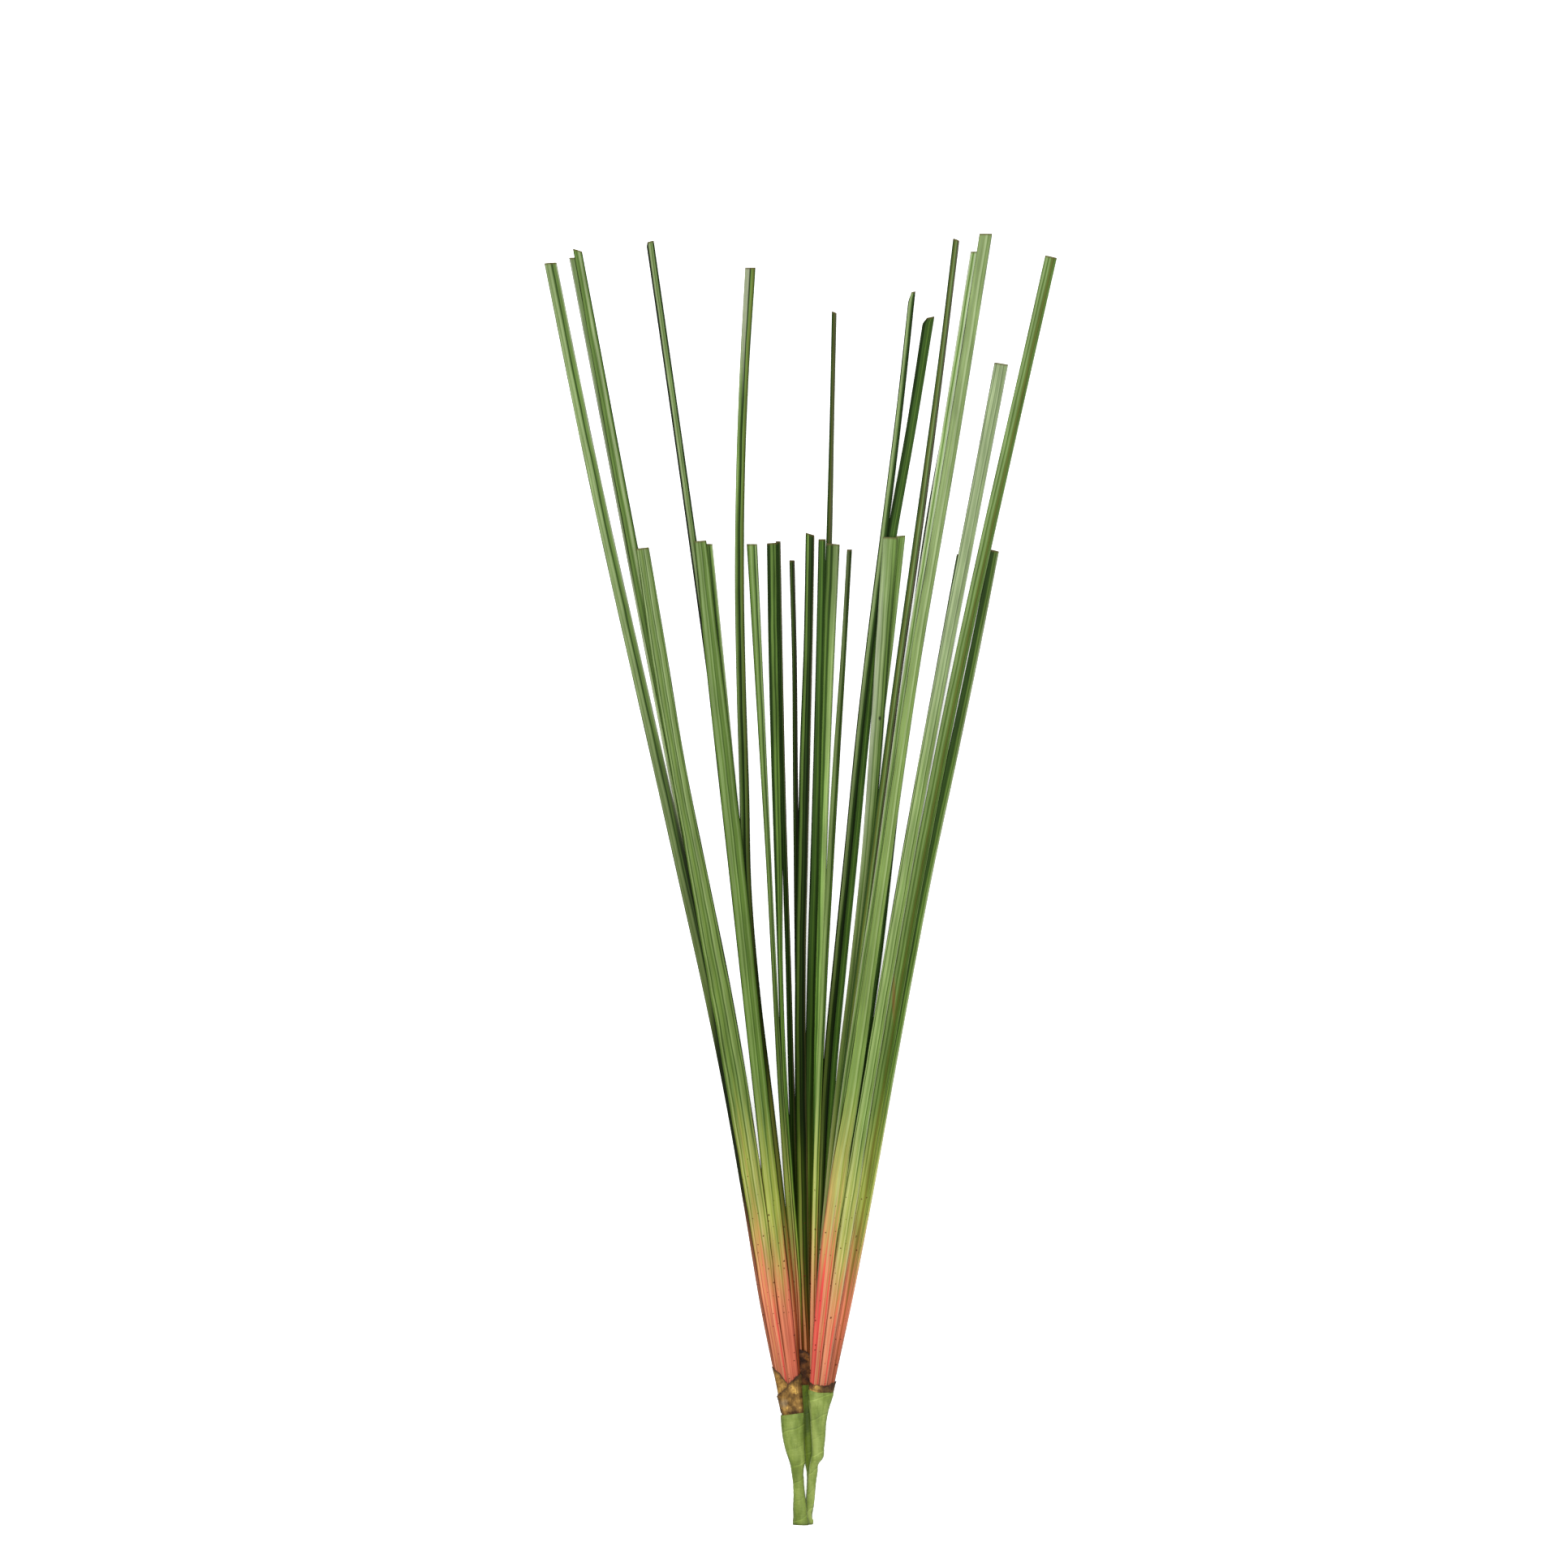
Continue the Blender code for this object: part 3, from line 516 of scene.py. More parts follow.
def leaf_material(name, words, ripe, early, tip, low, width):
    """Living leaf: three ramps of stripes across the blade, mixed by the place along Y."""
    material, tree, surface = new_material("living_leaf_" + name)
    seed = zlib.crc32(name.encode()) % 1000 / 10
    strip = add(tree, "UVMap", uv_map="strip")["UV"]
    place = add(tree, "TexCoord")["Object"]
    across, from_tip, _ = add(tree, "SeparateXYZ", strip)
    # The stripes wander a little: slow noise along the leaf moves them sideways.
    slow = add(tree, "Mapping", strip, Location=(seed, 0, 0), Scale=(1.5, 0.03, 1))[0]
    sway = add(tree, "TexNoise", slow, Scale=1.0, Detail=2.0)[0]
    sway = add(tree, "MapRange", sway, 0.3, 0.7, -0.03, 0.03)[0]
    across = add(tree, "Math", across, sway, operation="ADD")[0]
    edges = stripe_edges(words)
    places = np.stack([edges[:-1] + 0.25 * np.diff(edges), edges[1:] - 0.25 * np.diff(edges)])
    fresh, yellowed, coral = (
        add(tree, "ValToRGB", across,
            stops=[(x, STRIPES[word][stage])
                   for word, pair in zip(words, places.T.tolist()) for x in pair])[0]
        for stage in (1, 2, 3))
    # The changes along the leaf come a little earlier or later on each rib.
    uneven = add(tree, "Mapping", strip, Location=(seed, 3, 0), Scale=(6, 0.004, 1))[0]
    uneven = add(tree, "TexNoise", uneven, Scale=1.0, Detail=1.0)[0]
    shift = add(tree, "MapRange", uneven, 0.3, 0.7, (-early - 16) * MM, (-early + 16) * MM)[0]
    along = add(tree, "SeparateXYZ", place)["Y"]
    along = add(tree, "Math", along, shift, operation="ADD")[0]
    yellowing = add(tree, "MapRange", along, YELLOW_FULL, YELLOW_NONE, ripe, 0.0,
                    interpolation_type="SMOOTHSTEP")[0]
    flushing = add(tree, "MapRange", along, CORAL_FULL, CORAL_NONE, ripe, 0.0,
                   interpolation_type="SMOOTHSTEP")[0]
    # Painted light and shade: the fresh blade is scaled from its tip's lightness down to a
    # darker, shaded tint low down, where its neighbours would shade it.
    lit = add(tree, "MapRange", along, SHADED, LIT)[0]
    deep = np.array(SHADED_TINT) * low * min(1, low) ** np.array([0, 0, 0.4])
    painted_light_and_shade = add(tree, "Mix", lit, (*deep, 1), (tip, tip, tip, 1), data_type="RGBA")[2]
    fresh = add(tree, "Mix", 1.0, fresh, painted_light_and_shade, data_type="RGBA", blend_type="MULTIPLY")[2]
    colour = add(tree, "Mix", yellowing, fresh, yellowed, data_type="RGBA")[2]
    colour = add(tree, "Mix", flushing, colour, coral, data_type="RGBA")[2]
    # Painted shade: where it yellows it is still darkened as shaded, its coral part is not,
    # and all the bases are painted darker low down, where the clasping sheath shades them.
    shaded = add(tree, "MapRange", yellowing, 0.0, 0.6, 1.0, min(1, low) ** 0.5)[0]
    shaded = add(tree, "Mix", flushing, shaded, 1.0)[0]
    clasp_shade = add(tree, "MapRange", along, *CLASP_SHADE, 0.66, 1.0)[0]
    shaded = add(tree, "Math", shaded, clasp_shade, operation="MULTIPLY")[0]
    colour = add(tree, "VectorMath", colour, shaded, operation="SCALE")[0]
    # The washes lie over all of that; some of them are painted shade.
    washes = [values for leaf, *values in WASHES if leaf == name]
    for start, full, low_end, high_end, strength, wash in washes:
        beside = add(tree, "MapRange", across, start, full, 0.0, strength,
                     interpolation_type="SMOOTHSTEP")[0]
        share = add(tree, "MapRange", along, low_end * MM, high_end * MM, 0.0, beside,
                    interpolation_type="SMOOTHSTEP")[0]
        colour = add(tree, "Mix", share, colour, linear(wash), data_type="RGBA")[2]
    # Fine veins along the blade, soft blotches as long as a fingertip, and a thin dark line
    # along each margin, partly the margin's own colour and partly painted shade at the edge.
    fine = (width / VEIN_SPACING, 0.02, 1)
    veins = add(tree, "Mapping", strip, Location=(seed, 0, 0), Scale=fine)[0]
    veins = add(tree, "TexNoise", veins, Scale=1.0, Detail=3.0)[0]
    blotch = add(tree, "Mapping", place, Location=(seed, 0, 0), Scale=(160, 28, 160))[0]
    blotch = add(tree, "TexNoise", blotch, Scale=1.0, Detail=3.0)[0]
    grain = add(tree, "Math", blotch, 0.6, veins, operation="MULTIPLY_ADD")[0]
    grain = add(tree, "MapRange", grain, 0.5, 1.1, 0.45, 0.97)[0]
    margin = add(tree, "Math", across, 0.5, operation="PINGPONG")[0]
    margin = add(tree, "MapRange", margin, 0.012, 0.05, 0.6, 1.0)[0]
    grain = add(tree, "Math", grain, margin, operation="MULTIPLY")[0]
    colour = add(tree, "VectorMath", colour, grain, operation="SCALE")[0]
    # Rust flecks: a dot in each cell, as wide as the cell's chance to the 6th, so that few
    # are large. They fade out up the leaf.
    ragged = add(tree, "TexNoise", place, Scale=900.0, Detail=1.0)["Color"]
    ragged = add(tree, "VectorMath", ragged, (0.9 * MM,) * 3, place,
                 operation="MULTIPLY_ADD")[0]
    cells = add(tree, "TexVoronoi", ragged, Scale=1 / RUST_SPACING, Randomness=1.0,
                voronoi_dimensions="2D")
    chance = add(tree, "SeparateColor", cells["Color"])[0]
    chance = add(tree, "Math", chance, 6.0, operation="POWER")[0]
    lower = add(tree, "MapRange", along, *RUST_FADE, 0.24, 0.0)[0]
    radius = add(tree, "Math", chance, lower, operation="MULTIPLY")[0]
    dot = add(tree, "MapRange", cells["Distance"], 0.0, radius, 0.9, 0.0)[0]
    dot = add(tree, "MapRange", dot, 0.0, 0.35, 0.0, 0.85)[0]
    colour = add(tree, "Mix", dot, colour, linear("#43190b"), data_type="RGBA")[2]
    if name in MARKS:
        x, y, wide, long, strength, shade = MARKS[name]
        off = add(tree, "Mapping", place, Location=(-x / wide, -y / long, 0),
                  Scale=(1 / wide / MM, 1 / long / MM, 0))[0]
        off = add(tree, "VectorMath", off, operation="LENGTH")["Value"]
        mark = add(tree, "MapRange", off, 0.4, 1.0, strength, 0.0)[0]
        colour = add(tree, "Mix", mark, colour, linear(shade), data_type="RGBA")[2]
    # The last millimetre before the cut has dried to brown.
    dry = add(tree, "MapRange", from_tip, -1.4, -0.3, 0.0, 0.75)[0]
    colour = add(tree, "Mix", dry, colour, linear("#4f4229"), data_type="RGBA")[2]
    sheen = add(tree, "MapRange", blotch, 0.3, 0.7, 0.46, 0.6)[0]
    relief = add(tree, "Bump", Height=veins, Distance=0.08 * MM, Strength=0.6)[0]
    feed(surface, Base_Color=colour, Roughness=sheen, IOR=1.4, Normal=relief,
         Specular_IOR_Level=0.02 if SLOTS[name] == "dark_leaf" else 0.05)
    return material


# %% [markdown]
# The cut tips show the inside of the leaf: pale, spongy pith between two darker skins, gone
# brown where it dried. It is a small face, so one shared material does for all of them.

# %% Dried pith of the cut ends
dried_pith, tree, surface = new_material("dried_pith")
place = add(tree, "TexCoord")["Object"]
pores = add(tree, "TexNoise", place, Scale=1400.0, Detail=2.0)[0]
tone = add(tree, "ValToRGB", pores,
           stops=[(0.3, "#33301c"), (0.55, "#6a6940"), (0.75, "#9d9b72")])[0]
relief = add(tree, "Bump", Height=pores, Distance=0.1 * MM, Strength=0.7)[0]
feed(surface, Base_Color=tone, Roughness=0.85, Normal=relief)

# %% Make the leaves
triangles = 0
for node, (stripes, ripe, early, tip, low) in LEAVES.items():
    words = stripes.split()
    rings, strip = leaf_surface(node, words)
    faces, index = closed_faces(*rings.shape[:2])
    width = np.ptp(rings[len(rings) // 2, :, 0])
    finish = leaf_material(node, words, ripe, early, tip, low, width)
    triangles += make_piece(node, rings, faces, strip, [finish, dried_pith], index)
print(f"{len(LEAVES)} leaves, {triangles} triangles")

# %% [markdown]
# ## Outlines pulled tight
#
# The sheaths and the tape both clasp what is inside them, like a band pulled tight. Such an
# outline is easiest to handle by its reach: how far it goes in each direction. The reach of
# several things is the largest of theirs, a thicker skin only adds to it, and averaging it
# over neighbouring directions rounds the corners into soft folds.

# %% Reach and outline
DIRECTIONS = 180
angle = np.linspace(0, 2 * math.pi, DIRECTIONS, endpoint=False)
facing = np.stack([np.cos(angle), np.sin(angle)])


def reach_of(corners):
    """How far corners (x, z) reach in each direction: the most of x cos a + z sin a."""
    return (corners @ facing).max(axis=-2)


def softened(reach, spread=6):
    """The reach from the outline's own middle, averaged over neighbouring directions. The
    middle is twice the mean of reach times direction."""
    middle = 2 * (reach[..., None, :] * facing).mean(axis=-1)
    offset = middle @ facing
    weights = np.hanning(2 * spread + 3)[1:-1]
    turned = [np.roll(reach - offset, k, axis=-1) for k in range(-spread, spread + 1)]
    return np.tensordot(weights / weights.sum(), np.array(turned), axes=1) + offset


def outline_of(reach, count):
    """count points at equal distances round the outline with that reach, from its right.
    The outline's point for direction a is reach (cos a, sin a) + slope (-sin a, cos a),
    where slope is how fast the reach grows with a."""
    slope = (np.roll(reach, -1) - np.roll(reach, 1)) / (2 * angle[1])
    sideways = np.stack([-facing[1], facing[0]])
    outline = (reach * facing + slope * sideways).T
    closed = np.vstack([outline, outline[:1]])
    steps = np.linalg.norm(np.diff(closed, axis=0), axis=1)
    walked = np.concatenate([[0], np.cumsum(steps)])
    marks = np.linspace(0, walked[-1], count, endpoint=False)
    return np.stack([np.interp(marks, walked, closed[:, i]) for i in (0, 1)], axis=-1)


def leaf_reach(shoot, levels):
    """How far the bases of a shoot's leaves reach at each level along Y. From a solid leaf's
    first ring to its second the reach runs straight."""
    reaches = []
    for node in LEAVES:
        if node.startswith(shoot):
            low, high = solid_rings(node, 12)[:2]
            t = np.clip((levels - low[0, 1]) / (high[0, 1] - low[0, 1]), 0, 1)[:, None]
            reaches.append(reach_of(low[:, ::2]) * (1 - t) + reach_of(high[:, ::2]) * t)
    return np.max(reaches, axis=0)


def tube(levels, reaches, y, relief):
    """The points of a tube whose outline has those reaches at those even levels. y is the
    level of each point of a grid, and relief how far it is moved out along the normal."""
    count = y.shape[1]
    outlines = np.stack([outline_of(reach, count) for reach in reaches])
    place = np.clip((y - levels[0]) / (levels[1] - levels[0]), 0, len(levels) - 1.001)
    below, column = place.astype(int), np.arange(count)
    part = (place - below)[..., None]
    flat = outlines[below, column] * (1 - part) + outlines[below + 1, column] * part
    tangent = np.roll(flat, -1, axis=1) - np.roll(flat, 1, axis=1)
    outward = np.stack([tangent[..., 1], -tangent[..., 0]], axis=-1)
    flat = flat + outward / np.linalg.norm(outward, axis=-1)[..., None] * relief[..., None]
    return np.stack([flat[..., 0], y, flat[..., 1]], axis=-1)


def within_node(points, node):
    """The points, made narrower and flatter by the same share everywhere where they stand
    wider or higher than the solid of that name does, so that the piece stays in its box."""
    for axis in (0, 2):
        low, high = (corner[axis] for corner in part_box(node))
        values = points[..., axis]
        share = min(1, (high - low) / np.ptp(values))
        middle = np.clip((values.min() + values.max()) / 2,
                         low + np.ptp(values) * share / 2, high - np.ptp(values) * share / 2)
        values -= (values.min() + values.max()) / 2
        values *= share
        values += middle
    return points


def side_of(reach, count):
    """Where each point of an outline lies across it and up it, from -1 to 1."""
    outline = outline_of(reach, count)
    low, high = outline.min(axis=0), outline.max(axis=0)
    return ((outline - (low + high) / 2) / (high - low) * 2).T


# %% [markdown]
# ## The papery sheaths: shape
#
# At the foot of each shoot the outermost leaf bases have dried to brown, papery skin that
# clasps the others. Each skin is a tight band round the leaf bases with a torn, slanting
# upper edge: the two of the left shoot cross in a V. It goes a little way down inside the
# tape. Small ripples and an edge that stands off make it look like paper and not like tube.

# %% Skins round the leaf bases
CUT_END = -349.8
SKIN = 0.22 * MM
CLEAR = 0.2 * MM
TUCK = 2.0 * MM
SKIN_ROWS, SKIN_COLUMNS = 30, 144
around = np.arange(SKIN_COLUMNS) / SKIN_COLUMNS


def torn(seed, size):
    """An uneven edge round a skin: sines of several counts with seeded shifts."""
    shifts = np.random.default_rng(seed).uniform(0, 2 * math.pi, 6)
    counts = (5, 9, 14, 23, 37, 52)
    waves = [np.sin(2 * math.pi * n * around + shift) / (1 + i / 2)
             for i, (n, shift) in enumerate(zip(counts, shifts))]
    return size * np.sum(waves, axis=0) / 2


def skin_surface(node, shoot, bottom, edge, clear, seed, lump=0.0):
    """The points of a skin: up its outside, over its torn edge and down its inside. edge
    gives the height of the upper edge in mm from the cut ends for a place across and up."""
    levels = np.linspace(bottom - TUCK, bottom + 32 * MM, 50)
    reaches = softened(leaf_reach(shoot, levels))
    across, up = side_of(reaches[10], SKIN_COLUMNS)
    top = (CUT_END + edge(across, up)) * MM + torn(seed, 0.5 * MM)
    part = np.linspace(0, 1, SKIN_ROWS)[:, None]
    y = bottom - TUCK + part * (top - bottom + TUCK)
    shifts = np.random.default_rng(seed + 50).uniform(0, 2 * math.pi, 4)
    ripple = sum(np.sin(2 * math.pi * n * around + shift + part * turn)
                 for n, shift, turn in zip((7, 12, 19, 31), shifts, (2, -3, 4, -2)))
    curl = 0.25 * MM * ease(part, 0.8, 1.0) * (0.5 + np.sin(9 * math.pi * around) ** 2)
    tuck = 0.5 * MM * (1 - ease(y, bottom, bottom + 1.2 * MM))
    knob = lump * MM * np.exp(-(((around + 0.5) % 1 - 0.56) / 0.035) ** 2)
    ripple = 0.035 * MM * ripple * ease(y, bottom + 0.5 * MM, bottom + 4 * MM)
    relief = clear + SKIN + ripple + curl - tuck + knob * ease(part, 0.3, 0.9)
    inside = relief - SKIN
    y, relief = np.concatenate([y, y[::-1]]), np.concatenate([relief, inside[::-1]])
    strip = np.stack(np.broadcast_arrays(around, np.concatenate([part, part[::-1]])), axis=2)
    return within_node(tube(levels, reaches, y, relief), node), strip


# %% [markdown]
# ## The papery sheaths: finish
#
# The skin is dead leaf tissue, dried to a brittle brown paper. Gold where it is thinnest,
# it darkens to umber at its torn edge and along a net of cracks, with fine fibres up and
# down it. The cracks are the borders between Voronoi cells, bent by noise.

# %% Dry papery skin
CRACK_SPACING = 3.2 * MM
FIBRE_SPACING = 0.4 * MM


def skin_material(name, tones, dark_from, patch=None):
    """Dry papery skin in tones from dark to gold. It darkens across from the first to the
    second place in dark_from, and may have a round grey patch at (x, y, radius)."""
    material, tree, surface = new_material("dry_papery_skin_" + name)
    place = add(tree, "TexCoord")["Object"]
    strip = add(tree, "UVMap", uv_map="strip")["UV"]
    wobble = add(tree, "TexNoise", place, Scale=420.0, Detail=4.0)["Color"]
    bent = add(tree, "VectorMath", wobble, (4 * MM,) * 3, place, operation="MULTIPLY_ADD")[0]
    cells = add(tree, "TexVoronoi", bent, Scale=1 / CRACK_SPACING, feature="DISTANCE_TO_EDGE")
    crack = add(tree, "MapRange", cells["Distance"], 0.01, 0.05, 0.9, 0.0)[0]
    broken = add(tree, "TexNoise", place, Scale=190.0, Detail=1.0)[0]
    broken = add(tree, "MapRange", broken, 0.48, 0.64, 0.0, 0.75)[0]
    crack = add(tree, "Math", crack, broken, operation="MULTIPLY")[0]
    patches = add(tree, "TexNoise", bent, Scale=260.0, Detail=4.0)[0]
    tone = add(tree, "ValToRGB", patches, stops=zip((0.3, 0.42, 0.52, 0.62, 0.72), tones))[0]
    if patch:
        x, y, radius = patch
        flat = add(tree, "VectorMath", bent, (1, 1, 0), operation="MULTIPLY")[0]
        off = add(tree, "VectorMath", flat, (x * MM, y * MM, 0), operation="DISTANCE")["Value"]
        near = add(tree, "MapRange", off, (radius - 2.2) * MM, radius * MM, 0.55, 0.0)[0]
        tone = add(tree, "Mix", near, tone, linear("#8a7a60"), data_type="RGBA")[2]
    fibres = add(tree, "Mapping", place, Scale=(1, 0.08, 1))[0]
    fibres = add(tree, "TexNoise", fibres, Scale=1 / FIBRE_SPACING, Detail=2.0)[0]
    shade = add(tree, "MapRange", fibres, 0.3, 0.7, 0.55, 0.95)[0]
    tone = add(tree, "VectorMath", tone, shade, operation="SCALE")[0]
    # Dark things: painted shade on the flanks, where the skin turns away from the light, and
    # the cracks, the torn edge, the foot, and one side of the skin.
    round_it, height, _ = add(tree, "SeparateXYZ", strip)
    flank_shade = add(tree, "Math", round_it, 0.25, operation="PINGPONG")[0]
    flank_shade = add(tree, "MapRange", flank_shade, 0.01, 0.1, 0.5, 1.0)[0]
    tone = add(tree, "VectorMath", tone, flank_shade, operation="SCALE")[0]
    edge = add(tree, "MapRange", height, 0.9, 0.985, 0.0, 0.85)[0]
    side = add(tree, "SeparateXYZ", bent)["X"]
    side = add(tree, "MapRange", side, dark_from[0] * MM, dark_from[1] * MM, 0.0, 0.8)[0]
    foot = add(tree, "MapRange", height, 0.14, 0.42, 0.6, 0.0)[0]
    dark = add(tree, "Math", foot, patches, operation="MULTIPLY")[0]
    for other in (edge, crack, side):
        dark = add(tree, "Math", dark, other, operation="MAXIMUM")[0]
    tone = add(tree, "Mix", dark, tone, linear("#2b1a10"), data_type="RGBA")[2]
    rough = add(tree, "MapRange", patches, 0.3, 0.7, 0.8, 0.5)[0]
    hollow = add(tree, "Math", fibres, crack, operation="SUBTRACT")[0]
    relief = add(tree, "Bump", Height=hollow, Distance=0.15 * MM, Strength=0.7)[0]
    feed(surface, Base_Color=tone, Roughness=rough, Specular_IOR_Level=0.15, Normal=relief)
    return material


# %% Make the skins
def inner_left_edge(across, up):
    """Slants down from 86 mm at the left to 73 mm at the right."""
    return 76.6 - np.where(across < 0, 9.4, 4.0) * across


def outer_left_edge(across, up):
    """Slants up from 70 mm at the left to 82 mm at the right."""
    return 76.3 + 6.1 * across


def middle_edge(across, up):
    """Stands 6 mm higher on the upper side than halfway down."""
    return 89.0 + 6.0 * up


def right_edge(across, up):
    """A low band, a little higher at its two sides."""
    return 76.9 + 1.1 * (2 * across**2 - 1)


GOLDEN = ("#563a1c", "#7c5a28", "#977134", "#a8803c", "#cda452")
OCHRE = ("#432c16", "#664a20", "#84622c", "#987335", "#c89e4c")
UMBER = ("#25140a", "#412410", "#603816", "#7c4c1f", "#8f602b")
RUSSET = ("#301d12", "#624020", "#8c6931", "#b28d45", "#d8b15e")
NOT_DARK = (400, 500)
left_skin = skin_material("golden", GOLDEN, NOT_DARK)
patched_skin = skin_material("ochre_patched", OCHRE, NOT_DARK, (-7.2, -281.4, 3.2))
middle_skin = skin_material("umber", UMBER, NOT_DARK)
right_skin = skin_material("russet", RUSSET, (11.5, 14.5))
SKINS = {
    "left_inner_sheath": ("left", 60.3, inner_left_edge, CLEAR, 1, 0.0, left_skin),
    "left_outer_sheath": ("left", 60.3, outer_left_edge, CLEAR + 0.45 * MM, 2, 0.0,
                          patched_skin),
    "middle_sheath": ("middle", 75.7, middle_edge, CLEAR, 3, 0.0, middle_skin),
    "right_sheath": ("right", 71.5, right_edge, CLEAR, 4, 0.6, right_skin),
}
for node, (shoot, bottom, edge, clear, seed, lump, finish) in SKINS.items():
    points, strip = skin_surface(node, shoot, (CUT_END + bottom) * MM, edge, clear, seed, lump)
    faces = side_faces(*points.shape[:2], ring_rows=True)
    index = np.zeros(len(faces), int)
    print(node, make_piece(node, points, faces, strip, [finish], index), "triangles")

# %% [markdown]
# ## The taped stems: shape
#
# Each stem end is wound with crepe tape, from the sheath down. Every turn laps over the
# lower edge of the one above it, so the edges that show climb round the stem as a screw
# line, each a small step that faces up. The tape starts as a cuff over the sheath, shows
# the leaf bases under it as soft ridges there, and ends in a rim round the cut stem.

# %% Stems under their tape
STEM_ROWS, STEM_COLUMNS = 150, 96
TAPE = 0.14 * MM
LAP_PHASE = 2.1
CAP_DEPTH = 2.3 * MM


def stem_surface(node, shoot, clear, cuff, seam, pitch, seed, folds):
    """The points of a taped stem: from the recessed cut end over the rim, up the outside to
    the cuff's edge, and back down inside it. cuff gives the height in mm of that edge over
    the solid's top for a place across. One lap's edge crosses the front at seam. Each fold
    is a bell of that height in mm round a line that drops aslant from right to left."""
    rings = solid_rings(node, 24)
    reaches = reach_of(rings[:, :, ::2])
    marks = rings[:, 0, 1]
    top_levels = marks[-1] + np.array([0, 1.6, 3.2]) * MM
    marks = np.concatenate([marks[:-1], top_levels])
    hugging = leaf_reach(shoot, top_levels) + clear + SKIN + TAPE + 0.05 * MM
    reaches = np.concatenate([reaches[:-1], hugging])
    levels = np.linspace(marks[0], marks[-1], 160)
    reaches = softened(smooth_curve(levels, marks, reaches))
    across = side_of(reaches[-8], STEM_COLUMNS)[0]
    round_it = np.arange(STEM_COLUMNS) / STEM_COLUMNS
    shifts = np.random.default_rng(seed).uniform(0, 2 * math.pi, 5)

    def screw(y):
        """How many laps above the seam a level is, less the part that the turn adds."""
        wander = 0.03 * np.sin(6 * math.pi * round_it + shifts[0])
        wander = wander + 0.07 * np.sin(y / MM / 6.3 + shifts[2])
        return (y / MM - seam) / pitch - 0.25 + wander

    edge = top_levels[0] + cuff(across) * MM
    part = np.linspace(0, 1, STEM_ROWS)[:, None]
    y = marks[0] + 0.2 * MM + part * (edge - marks[0] - 0.2 * MM)
    turns = screw(y) + round_it
    lap = turns % 1
    # How far a lap's edge stands out differs from lap to lap.
    pressed = 0.55 + 0.45 * np.sin(LAP_PHASE * np.floor(turns))
    step = TAPE * (pressed * (ease(lap, 0.03, 1.0) - ease(lap, 0.96, 1.0)) - 1)
    ridges = sum(np.sin(2 * math.pi * n * round_it + shift)
                 for n, shift in zip((6, 11, 17), shifts[1:]))
    ridges = 0.07 * MM * (ridges - 1.5) * ease(y, edge - 22 * MM, edge - 6 * MM)
    lumps = 0.05 * MM * (np.sin(turns * 13 + shifts[4]) * np.sin(y / MM * 0.9 + shifts[1]) - 1)
    front = np.sin(2 * math.pi * np.clip(round_it, 0, 0.5))
    for at, drop, height in folds:
        lumps = lumps + height * MM * front * np.exp(
            -((y / MM - at + drop * round_it) / 0.7) ** 2)
    hugs = ease(y, edge - 4 * MM, edge - 2 * MM)
    relief = (step + ridges + lumps) * (1 - hugs) + 0.06 * MM * hugs
    rim_y = marks[0] + np.array([0.9, 0.1, 0.0, 0.0, 0.06])[:, None] * MM
    rim_relief = relief[:1] + np.array([-0.6, -0.5, -0.36, -0.12, -0.03])[:, None] * MM
    inner_part = np.linspace(0, 1, 6)[:, None]
    inner_y = edge + inner_part * (top_levels[0] - CAP_DEPTH - edge)
    inner_relief = relief[-1:] - TAPE * ease(inner_part, 0, 0.2) - 0.5 * MM * inner_part**2
    y = np.concatenate([np.broadcast_to(rim_y, (5, STEM_COLUMNS)), y, inner_y])
    relief = np.concatenate([rim_relief, relief, inner_relief])
    strip = np.stack(np.broadcast_arrays(round_it, screw(y)), axis=2)
    return within_node(tube(levels, reaches, y, relief), node), strip


# %% [markdown]
# ## The taped stems: finish
#
# Stem tape is crepe paper soaked in wax: matt to satin, pale green, with fine wrinkles
# across it. Along each lap edge a pale line is painted as a highlight where the step
# catches the light, with a painted shade line just under it. The strip's two numbers add up
# to the place in the screw line, so that the painted lines lie exactly on the steps.

# %% Waxed crepe paper
CREPE_SPACING = 0.55 * MM


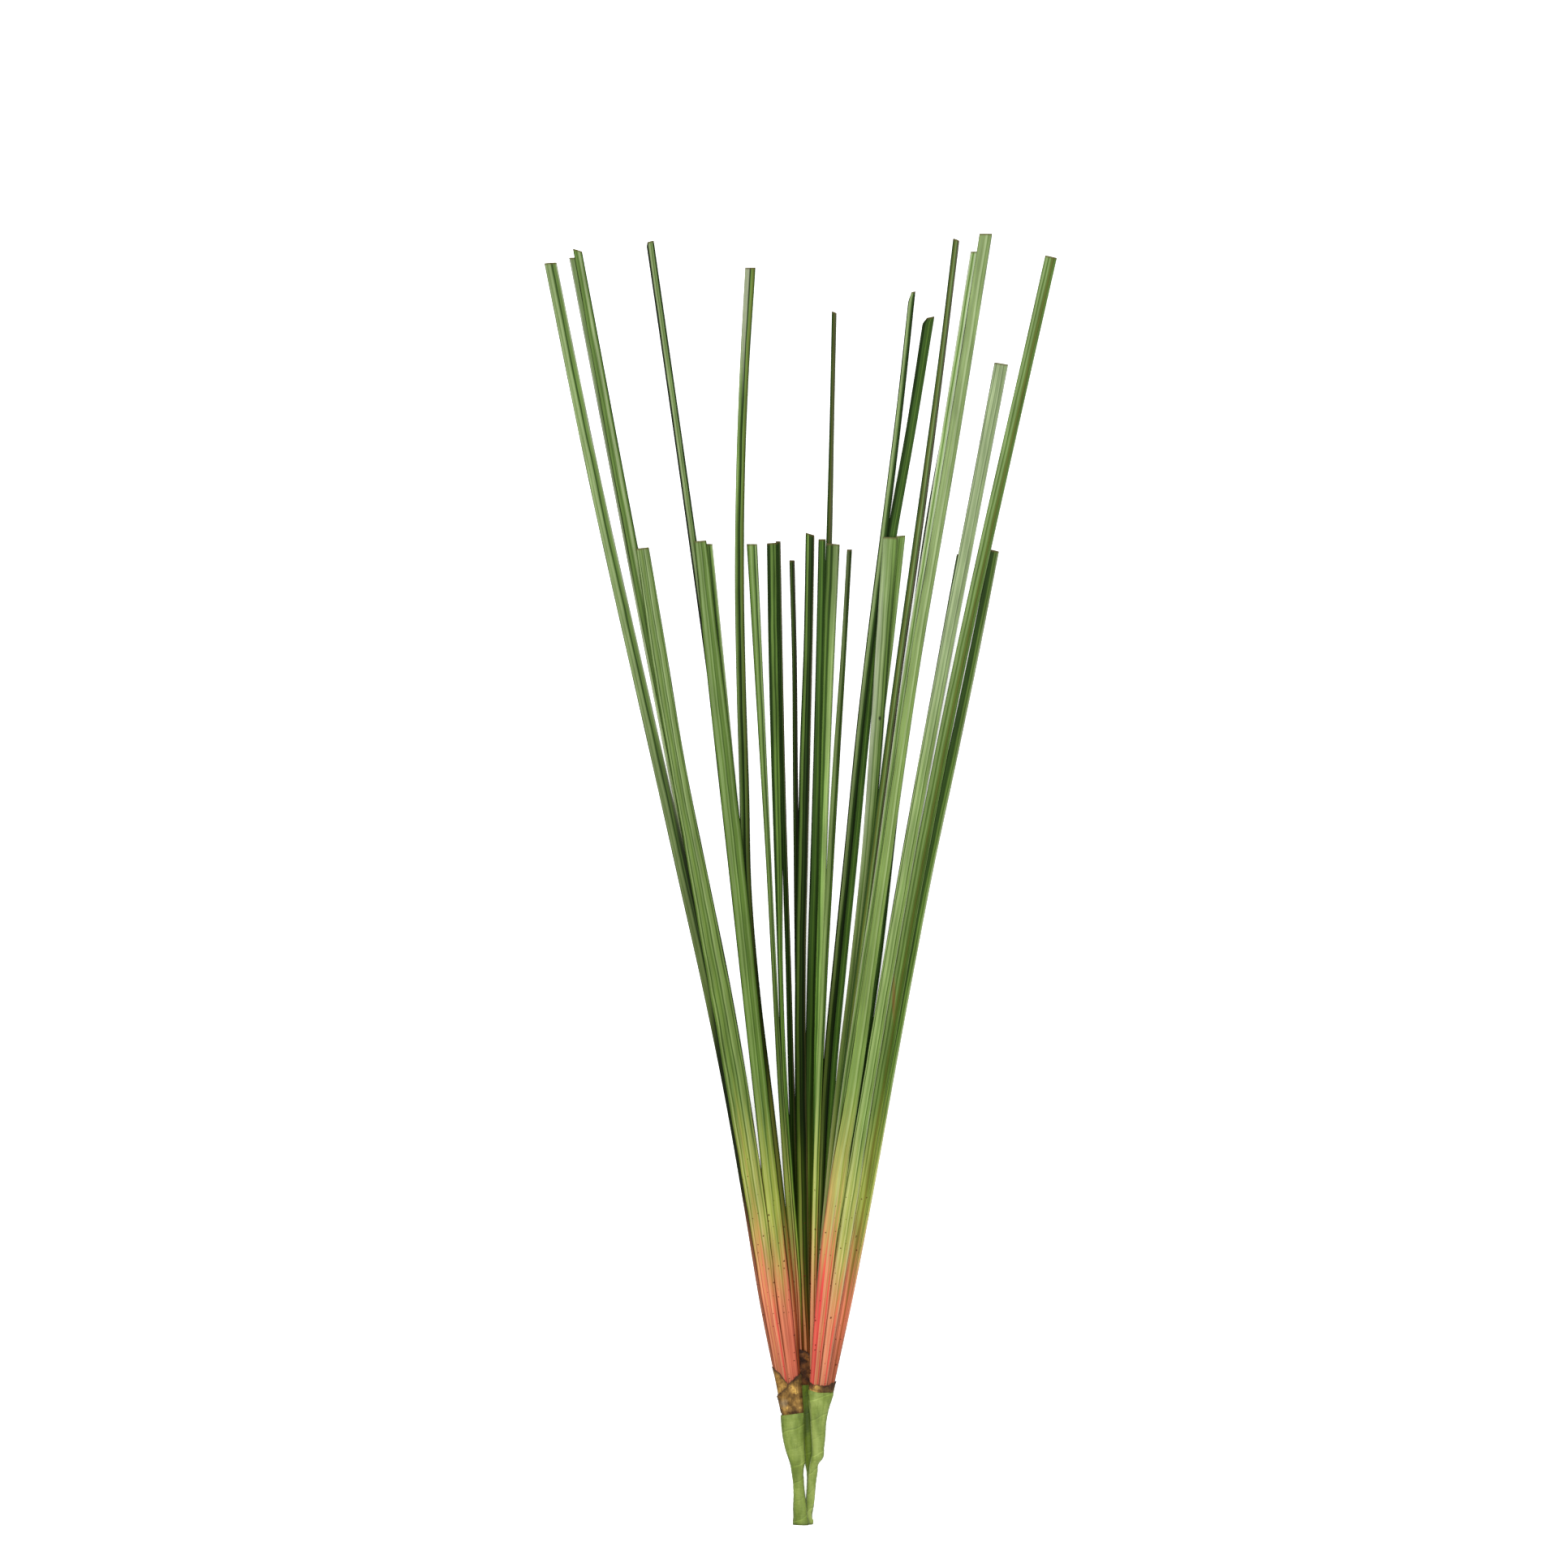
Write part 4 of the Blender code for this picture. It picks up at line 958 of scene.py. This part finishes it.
def tape_material(name, tones):
    """Waxed crepe paper in tones from dark to pale, with a painted highlight line along each
    lap edge and a painted shade line under it.
    """
    material, tree, surface = new_material("waxed_crepe_paper_" + name)
    place = add(tree, "TexCoord")["Object"]
    strip = add(tree, "UVMap", uv_map="strip")["UV"]
    round_it, rise, _ = add(tree, "SeparateXYZ", strip)
    turns = add(tree, "Math", round_it, rise, operation="ADD")[0]
    lap = add(tree, "Math", turns, operation="FRACT")[0]
    crepe = add(tree, "Mapping", place, Scale=(0.25, 1, 0.25))[0]
    crepe = add(tree, "TexNoise", crepe, Scale=1 / CREPE_SPACING, Detail=3.0,
                Distortion=0.6)[0]
    clouds = add(tree, "Mapping", place, Scale=(1, 0.22, 1))[0]
    clouds = add(tree, "TexNoise", clouds, Scale=230.0, Detail=4.0)[0]
    mixed = add(tree, "Math", crepe, 0.2, clouds, operation="MULTIPLY_ADD")[0]
    mixed = add(tree, "Math", mixed, 0.1, operation="SUBTRACT")[0]
    tone = add(tree, "ValToRGB", mixed, stops=zip((0.34, 0.5, 0.66), tones))[0]
    # Painted highlight and shade: a pale line where each lap's step catches the light and a dark
    # line at its foot.
    line = add(tree, "ValToRGB", lap,
               stops=[(0.0, "#5d5d5d"), (0.035, "#a8a8a8"), (0.1, "#bababa"), (0.9, "#c6c6c6"),
                      (0.955, "#f4f4f4"), (0.985, "#e4e4e4"), (1.0, "#5d5d5d")])[0]
    # Some laps are pressed flat, so their edge shows less.
    pressed = add(tree, "Math", turns, operation="FLOOR")[0]
    pressed = add(tree, "Math", pressed, LAP_PHASE, operation="MULTIPLY")[0]
    pressed = add(tree, "Math", pressed, operation="SINE")[0]
    pressed = add(tree, "MapRange", pressed, -1.0, 1.0, 0.1, 0.6)[0]
    tone = add(tree, "Mix", pressed, tone, line, data_type="RGBA", blend_type="SOFT_LIGHT")[2]
    # Painted shade: the tape is painted a deeper green down its two sides, where they turn
    # away from the light.
    # At the cut end its rim is darker too.
    side = add(tree, "Math", round_it, 0.25, operation="PINGPONG")[0]
    side = add(tree, "MapRange", side, 0.01, 0.09, 0.55, 1.0)[0]
    tone = add(tree, "VectorMath", tone, side, operation="SCALE")[0]
    rim = add(tree, "SeparateXYZ", place)["Y"]
    rim = add(tree, "MapRange", rim, (CUT_END + 0.4) * MM, (CUT_END + 1.6) * MM, 0.5, 1.0)[0]
    tone = add(tree, "VectorMath", tone, rim, operation="SCALE")[0]
    # Where the tape was pulled round a thinner part it has creases aslant.
    aslant = add(tree, "Mapping", place, Rotation=(0, 0, 0.6), Scale=(0.3, 1, 0.3))[0]
    aslant = add(tree, "TexNoise", aslant, Scale=420.0, Detail=2.0, Distortion=1.5)[0]
    creases = add(tree, "Bump", Height=aslant, Distance=0.5 * MM, Strength=0.5)[0]
    relief = add(tree, "Bump", Height=crepe, Distance=0.12 * MM, Strength=0.35,
                 Normal=creases)[0]
    feed(surface, Base_Color=tone, Roughness=0.55, IOR=1.44, Specular_IOR_Level=0.2,
         Normal=relief)
    return material


# %% Make the stems
def left_cuff(across):
    """Slants up to the right, from 0.3 mm under the solid's top to 1.4 mm over it."""
    return 0.55 + 0.85 * across


def middle_cuff(across):
    """Level."""
    return 0.3 + 0 * across


def right_cuff(across):
    """Level on the right, and climbing to 2 mm higher at the left."""
    return 0.95 + 2.1 * np.clip(-across, 0, 1) ** 1.5


TAPE_TONES = ("#556426", "#697936", "#7d8b47")
DEEPER_TONES = ("#516122", "#667632", "#7a8843")
SHADED_TONES = ("#3e5014", "#526518", "#647621")
# Folds: where a fold starts on the right in mm, how much it drops in a turn, and its height.
FOLDS = ((-306.5, 26, 0.3), (-310.0, 22, 0.16), (-324.0, 30, 0.14))
STEMS = {
    "left_taped_stem": ("left", CLEAR + 0.45 * MM, left_cuff, -307.1, 9.7, DEEPER_TONES, ()),
    "middle_taped_stem": ("middle", CLEAR, middle_cuff, -300.0, 9.9, SHADED_TONES, ()),
    "right_taped_stem": ("right", CLEAR, right_cuff, -301.0, 10.1, TAPE_TONES, FOLDS),
}
for seed, (node, values) in enumerate(STEMS.items()):
    shoot, clear, cuff, seam, pitch, tones, folds = values
    points, strip = stem_surface(node, shoot, clear, cuff, seam, pitch, seed, folds)
    faces, index = closed_faces(*points.shape[:2])
    finish = tape_material(shoot, tones)
    print(node, make_piece(node, points, faces, strip, [finish, dried_pith], index),
          "triangles")

# %% [markdown]
# ## Check the size and finish
#
# The dressed part has to stay in the box of the imported solids.

# %% Print both boxes
own_box = [list(corner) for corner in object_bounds()]
for name, box in (("Solids", cad_box), ("Dressed", own_box)):
    print(name, [[round(value / MM, 2) for value in corner] for corner in box])
